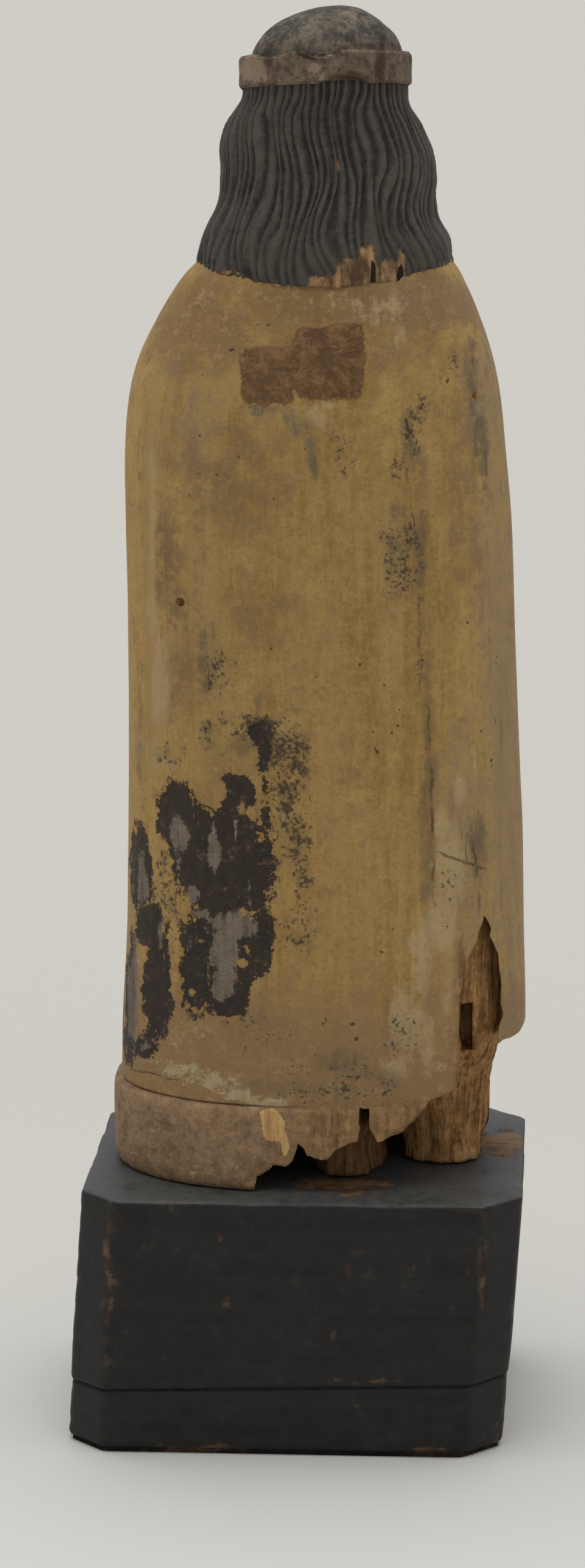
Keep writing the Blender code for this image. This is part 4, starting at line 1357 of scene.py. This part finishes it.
    seam = onCloak(*seamEnd).x
    pastSeam, beforeSeam = x.ramp(seam - 0.004, seam + 0.003), x.ramp(seam + 0.003, seam - 0.004)
    onBase = height.ramp(hem + 0.0008, hem - 0.0004) * pastSeam.most(y.ramp(0.0, -0.01))
    baseTone = (crisp * 0.6 + middle * 0.6 + fine * 0.3).ramp(-0.9, 0.9)
    basePaint = b.mix(baseTone, ochre["baseDark"], ochre["baseLight"])
    basePaint = b.mix((blotch + crisp * 0.4).ramp(0.1, 0.8) * 0.6, basePaint, ochre["baseGrey"])
    basePaint = b.mix(broken * 0.7, basePaint, ochre["gesso"])
    basePaint = b.mix((fine * 0.5 + crisp * 0.6).ramp(0.6, 0.9) * 0.5, basePaint, ochre["gesso"])
    colour = b.mix(onBase, colour, basePaint)
    fibre = b.rough(1.0, 5, 0.65, (620, 620, 60))
    wood = (fibre * 0.7 + crisp * 0.8 + middle * 0.7).ramp(-1.0, 0.9)
    wood = b.mix(wood, ochre["woodDark"], ochre["woodLight"])
    fibrous = b.field("fibrous").most(height.ramp(hem + 0.004, hem - 0.001) * beforeSeam * 1.4 - 1.0)
    fibrous = (fibrous + crisp * 0.6 + blotch * 0.5 + middle * 0.7 + 0.1).ramp(-0.3, 0.8)
    colour = b.mix(fibrous * 0.9, colour, wood)
    bare = (b.field("bare") + edge * 0.8 - 0.1).ramp(-0.07, 0.15)
    newWood = b.mix((fibre + crisp * 0.4).ramp(-0.8, 0.8), ochre["bareDark"], ochre["bareLight"])
    colour = b.mix(bare, colour, newWood)

    kept = (b.field("kept") + edge * 0.8 - 0.15).ramp(-0.1, 0.3)
    lost = b.field("flaked") + edge * 1.35
    flaked = lost.ramp(-0.12, 0.12) * (1 - kept)
    rim = lost.ramp(-0.45, -0.1) * (1 - flaked)
    colour = b.mix(rim * 0.35, colour, ochre["rim"])
    black = b.mix((crisp * 0.6 + middle * 0.4).ramp(-0.5, 1.0), ochre["black"], ochre["soot"])
    grey = (b.field("greyed") + edge * 1.5 + streak * 0.3).ramp(-0.15, 0.45)
    greyPaint = b.mix((streak + crisp * 0.6 + fine * 0.4).ramp(-0.8, 0.8), ochre["greyDark"], ochre["grey"])
    lowGrey = (height - onCloak(*paleBelow).z + crisp * 0.003).ramp(0.006, -0.006) * x.ramp(0.012, 0.008)
    greyPaint = b.mix(lowGrey * 0.6, greyPaint, ochre["pale"])
    black = b.mix(grey * 0.92, black, greyPaint)
    stained = (crisp * 0.8 + middle * 0.6 + fine * 0.4).ramp(0.35, 0.95)
    black = b.mix(stained * 0.75, black, ochre["brown"])
    colour = b.mix(flaked * 0.96, colour, black)
    dull = fine * 0.06 + flaked * -0.1 + residue * -0.12 + 0.72
    relief = streak * 0.16 + (low * 0.25 + 0.20) * crisp + middle * 0.10 + fine * 0.10
    relief = relief - flaked * 0.5 - specks * 0.35
    relief = relief + residue * (crisp * 0.8 + middle * 0.9 + swirl * 0.45) - cracked * 0.6
    relief = relief + fibrous * fibre * 0.45 + broken * crisp * 0.4 - bare * 0.5 + grey * flaked * 0.25
    return b.coat(colour, dull, 0.25, relief, 0.0007, 0.9)


ochre = {
    "light": (0.420, 0.265, 0.083), "deep": (0.232, 0.136, 0.037), "tan": (0.245, 0.158, 0.064),
    "brown": (0.168, 0.096, 0.040), "hemBrown": (0.268, 0.160, 0.073), "yellow": (0.400, 0.270, 0.105),
    "pale": (0.400, 0.288, 0.140), "ash": (0.235, 0.165, 0.095), "reddish": (0.215, 0.115, 0.048),
    "baseGrey": (0.225, 0.155, 0.098), "grime": (0.100, 0.060, 0.026), "dusk": (0.100, 0.074, 0.044),
    "green": (0.095, 0.084, 0.055), "crustDark": (0.075, 0.030, 0.011),
    "crustLight": (0.260, 0.135, 0.052), "speck": (0.040, 0.028, 0.016), "crack": (0.062, 0.038, 0.019),
    "gesso": (0.50, 0.385, 0.23), "baseDark": (0.140, 0.080, 0.038), "baseLight": (0.335, 0.210, 0.108),
    "woodDark": (0.085, 0.042, 0.016), "woodLight": (0.37, 0.215, 0.090),
    "bareDark": (0.36, 0.20, 0.075), "bareLight": (0.60, 0.36, 0.14), "rim": (0.30, 0.160, 0.062),
    "black": (0.012, 0.009, 0.007), "soot": (0.036, 0.026, 0.019), "greyDark": (0.085, 0.064, 0.048),
    "grey": (0.190, 0.150, 0.112),
}


rotColours = {
    "fibreDark": (0.105, 0.046, 0.015), "fibreLight": (0.520, 0.280, 0.105),
    "blotch": (0.150, 0.072, 0.026), "pale": (0.46, 0.27, 0.115), "shaded": (0.045, 0.022, 0.010),
}


def rottenWood():
    b = Board("rottenWood")
    fibre = b.rough(1.0, 6, 0.65, (520, 520, 45))
    blotch = b.rough(110, 5, 0.65)
    crisp = b.rough(600, 4, 0.7)
    colour = b.mix((fibre + crisp * 0.4).ramp(-0.9, 0.8), rotColours["fibreDark"], rotColours["fibreLight"])
    colour = b.mix(blotch.ramp(-0.1, 0.7) * 0.6, colour, rotColours["blotch"])
    colour = b.mix((b.rough(60, 4) + fibre * 0.4).ramp(0.2, 0.9) * 0.5, colour, rotColours["pale"])
    colour = b.mix(b.field("shade"), colour, rotColours["shaded"])
    return b.coat(colour, 0.9, 0.15, fibre * 0.3 + crisp * 0.15, 0.0014, 1.0)


headColours = {
    "groove": (0.016, 0.012, 0.009), "ridge": (0.080, 0.067, 0.052), "brown": (0.055, 0.040, 0.029),
    "capDark": (0.026, 0.022, 0.015), "capLight": (0.200, 0.150, 0.090),
    "capSide": (0.034, 0.030, 0.022), "woodDark": (0.080, 0.042, 0.018),
    "woodLight": (0.36, 0.21, 0.095), "split": (0.010, 0.006, 0.004), "fleshDark": (0.36, 0.215, 0.14),
    "fleshLight": (0.50, 0.34, 0.235), "blush": (0.48, 0.19, 0.125), "dirt": (0.18, 0.10, 0.055),
    "lips": (0.30, 0.085, 0.06), "drawn": (0.05, 0.03, 0.018),
}


# Dark hair, rubbed grey on the ridges; raw wood where its edge has broken; flesh paint on the face.
def hairPaint():
    b = Board("hairAndFace")
    blotch = b.rough(90, 4)
    crisp = b.rough(340, 5, 0.65)
    fine = b.rough(1000, 3, 0.6)
    edge = crisp * 0.6 + blotch * 0.25 + fine * 0.3
    ridge = b.field("ridge")
    height = b.axes()[2]
    share = (ridge + crisp * 0.35 + fine * 0.25).ramp(-0.1, 1.3)
    colour = b.mix(share, headColours["groove"], headColours["ridge"])
    lowHair = height.ramp(floorZ + 0.845 * tall, floorZ + 0.785 * tall)
    brown = (lowHair * 0.7 + blotch * 0.7 + crisp * 0.4).ramp(0.1, 1.2)
    colour = b.mix(brown * 0.65, colour, headColours["brown"])
    onCap = height.ramp(floorZ + 0.944 * tall, floorZ + 0.950 * tall)
    cap = (crisp * 0.8 + b.rough(150, 4) * 0.6 + fine * 0.4).ramp(-0.5, 0.9)
    cap = b.mix(cap, headColours["capDark"], headColours["capLight"])
    crown = (height.ramp(floorZ + 0.958 * tall, floorZ + 0.996 * tall) + blotch * 0.4).ramp(0.1, 1.0)
    cap = b.mix(crown * 0.6, b.mix(0.45, cap, headColours["capSide"]), cap)
    colour = b.mix(onCap, colour, cap)
    raw = (b.field("raw") + edge * 1.2 + 0.05).ramp(-0.15, 0.4)
    grain = b.rough(1.0, 4, 0.6, (500, 500, 120)) + b.rough(170, 4) * 0.6
    wood = b.mix(grain.ramp(-0.8, 0.9), headColours["woodDark"], headColours["woodLight"])
    colour = b.mix(raw, colour, wood)
    split = (b.field("split") + edge * 0.5).ramp(-0.08, 0.15)
    colour = b.mix(split, colour, headColours["split"])
    flesh = b.mix(b.rough(110, 4).ramp(-0.7, 0.8), headColours["fleshDark"], headColours["fleshLight"])
    flesh = b.mix(b.field("blush").ramp(-0.2, 1.0) * 0.35, flesh, headColours["blush"])
    flesh = b.mix((crisp + blotch * 0.6).ramp(0.6, 1.0) * 0.6, flesh, headColours["dirt"])
    flesh = b.mix((b.field("lips") + crisp * 0.2).ramp(-0.1, 0.2) * 0.75, flesh, headColours["lips"])
    drawn = b.field("brows").most(b.field("lashes")) + crisp * 0.3
    flesh = b.mix(drawn.ramp(-0.1, 0.3) * 0.8, flesh, headColours["drawn"])
    colour = b.mix(b.field("skin").ramp(0.4, 0.6), colour, flesh)
    relief = crisp * 0.15 + fine * 0.08 + raw * crisp * 0.3
    return b.coat(colour, fine * 0.06 + 0.6 + raw * 0.15, 0.22, relief, 0.0005, 0.8)


bandColours = {
    "dark": (0.066, 0.043, 0.028), "light": (0.185, 0.130, 0.090), "brown": (0.105, 0.066, 0.043),
    # The stain colour also paints shade along the band's lower left edge.
    "pale": (0.27, 0.19, 0.125), "stainAndShade": (0.036, 0.019, 0.012),
}


def bandPaint():
    b = Board("headBandWood")
    crisp = b.rough(300, 5, 0.65)
    blotch = b.rough(110, 5, 0.6)
    fine = b.rough(1000, 3)
    edge = crisp * 0.7 + blotch * 0.3 + fine * 0.3
    colour = b.mix((crisp + fine * 0.4).ramp(-0.8, 0.8), bandColours["dark"], bandColours["light"])
    colour = b.mix((blotch + crisp * 0.4).ramp(-0.1, 0.8) * 0.6, colour, bandColours["brown"])
    pale = (b.field("pale") * 0.8 + edge * 1.1).ramp(-0.2, 0.7)
    colour = b.mix(pale * 0.7, colour, bandColours["pale"])
    # Dark stains, and painted shade along the band's lower left edge.
    stained = (b.field("stained") * 0.8 + edge * 1.2).ramp(-0.15, 0.7)
    colour = b.mix(stained * 0.8, colour, bandColours["stainAndShade"])
    return b.coat(colour, crisp * 0.05 + 0.72, 0.2, crisp * 0.25 + fine * 0.08, 0.0006, 0.9)


# Old paint with specks, for hands and shoes.
def plainPaint(name, dark, light):
    b = Board(name)
    crisp = b.rough(320, 5, 0.65)
    colour = b.mix(b.rough(120, 4).ramp(-0.7, 0.7), dark, light)
    colour = b.mix((crisp + b.rough(70, 3) * 0.5).ramp(0.5, 1.0) * 0.7, colour, ochre["brown"])
    return b.coat(colour, crisp * 0.05 + 0.65, 0.25, crisp * 0.25, 0.0005, 0.6)


plinthColours = {
    "dark": (0.0065, 0.0062, 0.0055), "light": (0.0150, 0.0140, 0.0125),
    # The pale grey for faces that look up is dust with painted sheen and light from above.
    "topDustAndSheen": (0.060, 0.060, 0.055), "worn": (0.020, 0.0175, 0.015), "dust": (0.092, 0.066, 0.048),
    "brownDark": (0.040, 0.021, 0.011), "brownLight": (0.130, 0.072, 0.036),
    "topBrown": (0.20, 0.105, 0.038),
}


def blackPaint():
    b = Board("blackPlinthPaint")
    crisp = b.rough(260, 5, 0.65)
    fine = b.rough(1100, 3, 0.6)
    grain = b.rough(1.0, 5, 0.6, (14, 160, 260))
    blotch = b.rough(42, 5, 0.6)
    up = b.axes(b.add("ShaderNodeNewGeometry", out="Normal"))[2]
    share = (grain * 0.5 + crisp * 0.6).ramp(-0.8, 0.8)
    colour = b.mix(share, plinthColours["dark"], plinthColours["light"])
    # Faces that look up are painted pale grey: dust, and painted sheen and light from above.
    lyingDustAndSheen = (up.ramp(0.5, 0.95) + crisp * 0.25 + blotch * 0.3 - 0.1).ramp(0.2, 1.0)
    colour = b.mix(lyingDustAndSheen * 0.85, colour, plinthColours["topDustAndSheen"])
    colour = b.mix(blotch.ramp(0.0, 0.8) * 0.5, colour, plinthColours["worn"])
    dust = (crisp * 0.8 + blotch * 0.5 + fine * 0.35).ramp(0.5, 1.25)
    colour = b.mix(dust * 0.6, colour, plinthColours["dust"])
    wild = crisp * 0.6 + blotch * 0.4 + fine * 0.25
    rub = (b.field("edge") * 0.5 + wild * 0.7 - 0.60).ramp(-0.1, 0.5)
    onTop = up.ramp(0.5, 0.95)
    patchy = wild * (onTop * 1.2 + 1.0) - onTop * 0.15
    rub = rub.most((b.field("rubbed") * (onTop * 0.5 + 0.8) + patchy - 0.15).ramp(-0.15, 0.7))
    streaks = (grain + crisp * 0.5).ramp(-0.5, 0.8)
    brown = b.mix(streaks, plinthColours["brownDark"], plinthColours["brownLight"])
    brown = b.mix(onTop * (grain + crisp * 0.7).ramp(-0.4, 0.6) * 0.8, brown, plinthColours["topBrown"])
    colour = b.mix(rub * 0.85, colour, brown)
    relief = grain * 0.10 + crisp * 0.12 + fine * 0.06 - rub * 0.4
    return b.coat(colour, crisp * 0.05 + 0.50 + rub * 0.2, 0.24, relief, 0.0005, 0.8)


# Build

addCamera()
addStage()
print("camera, light and floor set")
ochrePaint = paintedCloth()
rottenPaint = rottenWood()
buildCloak(ochrePaint, rottenPaint)
buildCore(rottenPaint)
buildHead(hairPaint())
buildBand(bandPaint())
buildArms(ochrePaint, {
    "skin": plainPaint("handsFlesh", (0.40, 0.245, 0.165), (0.55, 0.385, 0.27)),
    "shoe": plainPaint("shoePaint", (0.035, 0.025, 0.02), (0.07, 0.05, 0.038)),
})
buildPlinth(blackPaint())
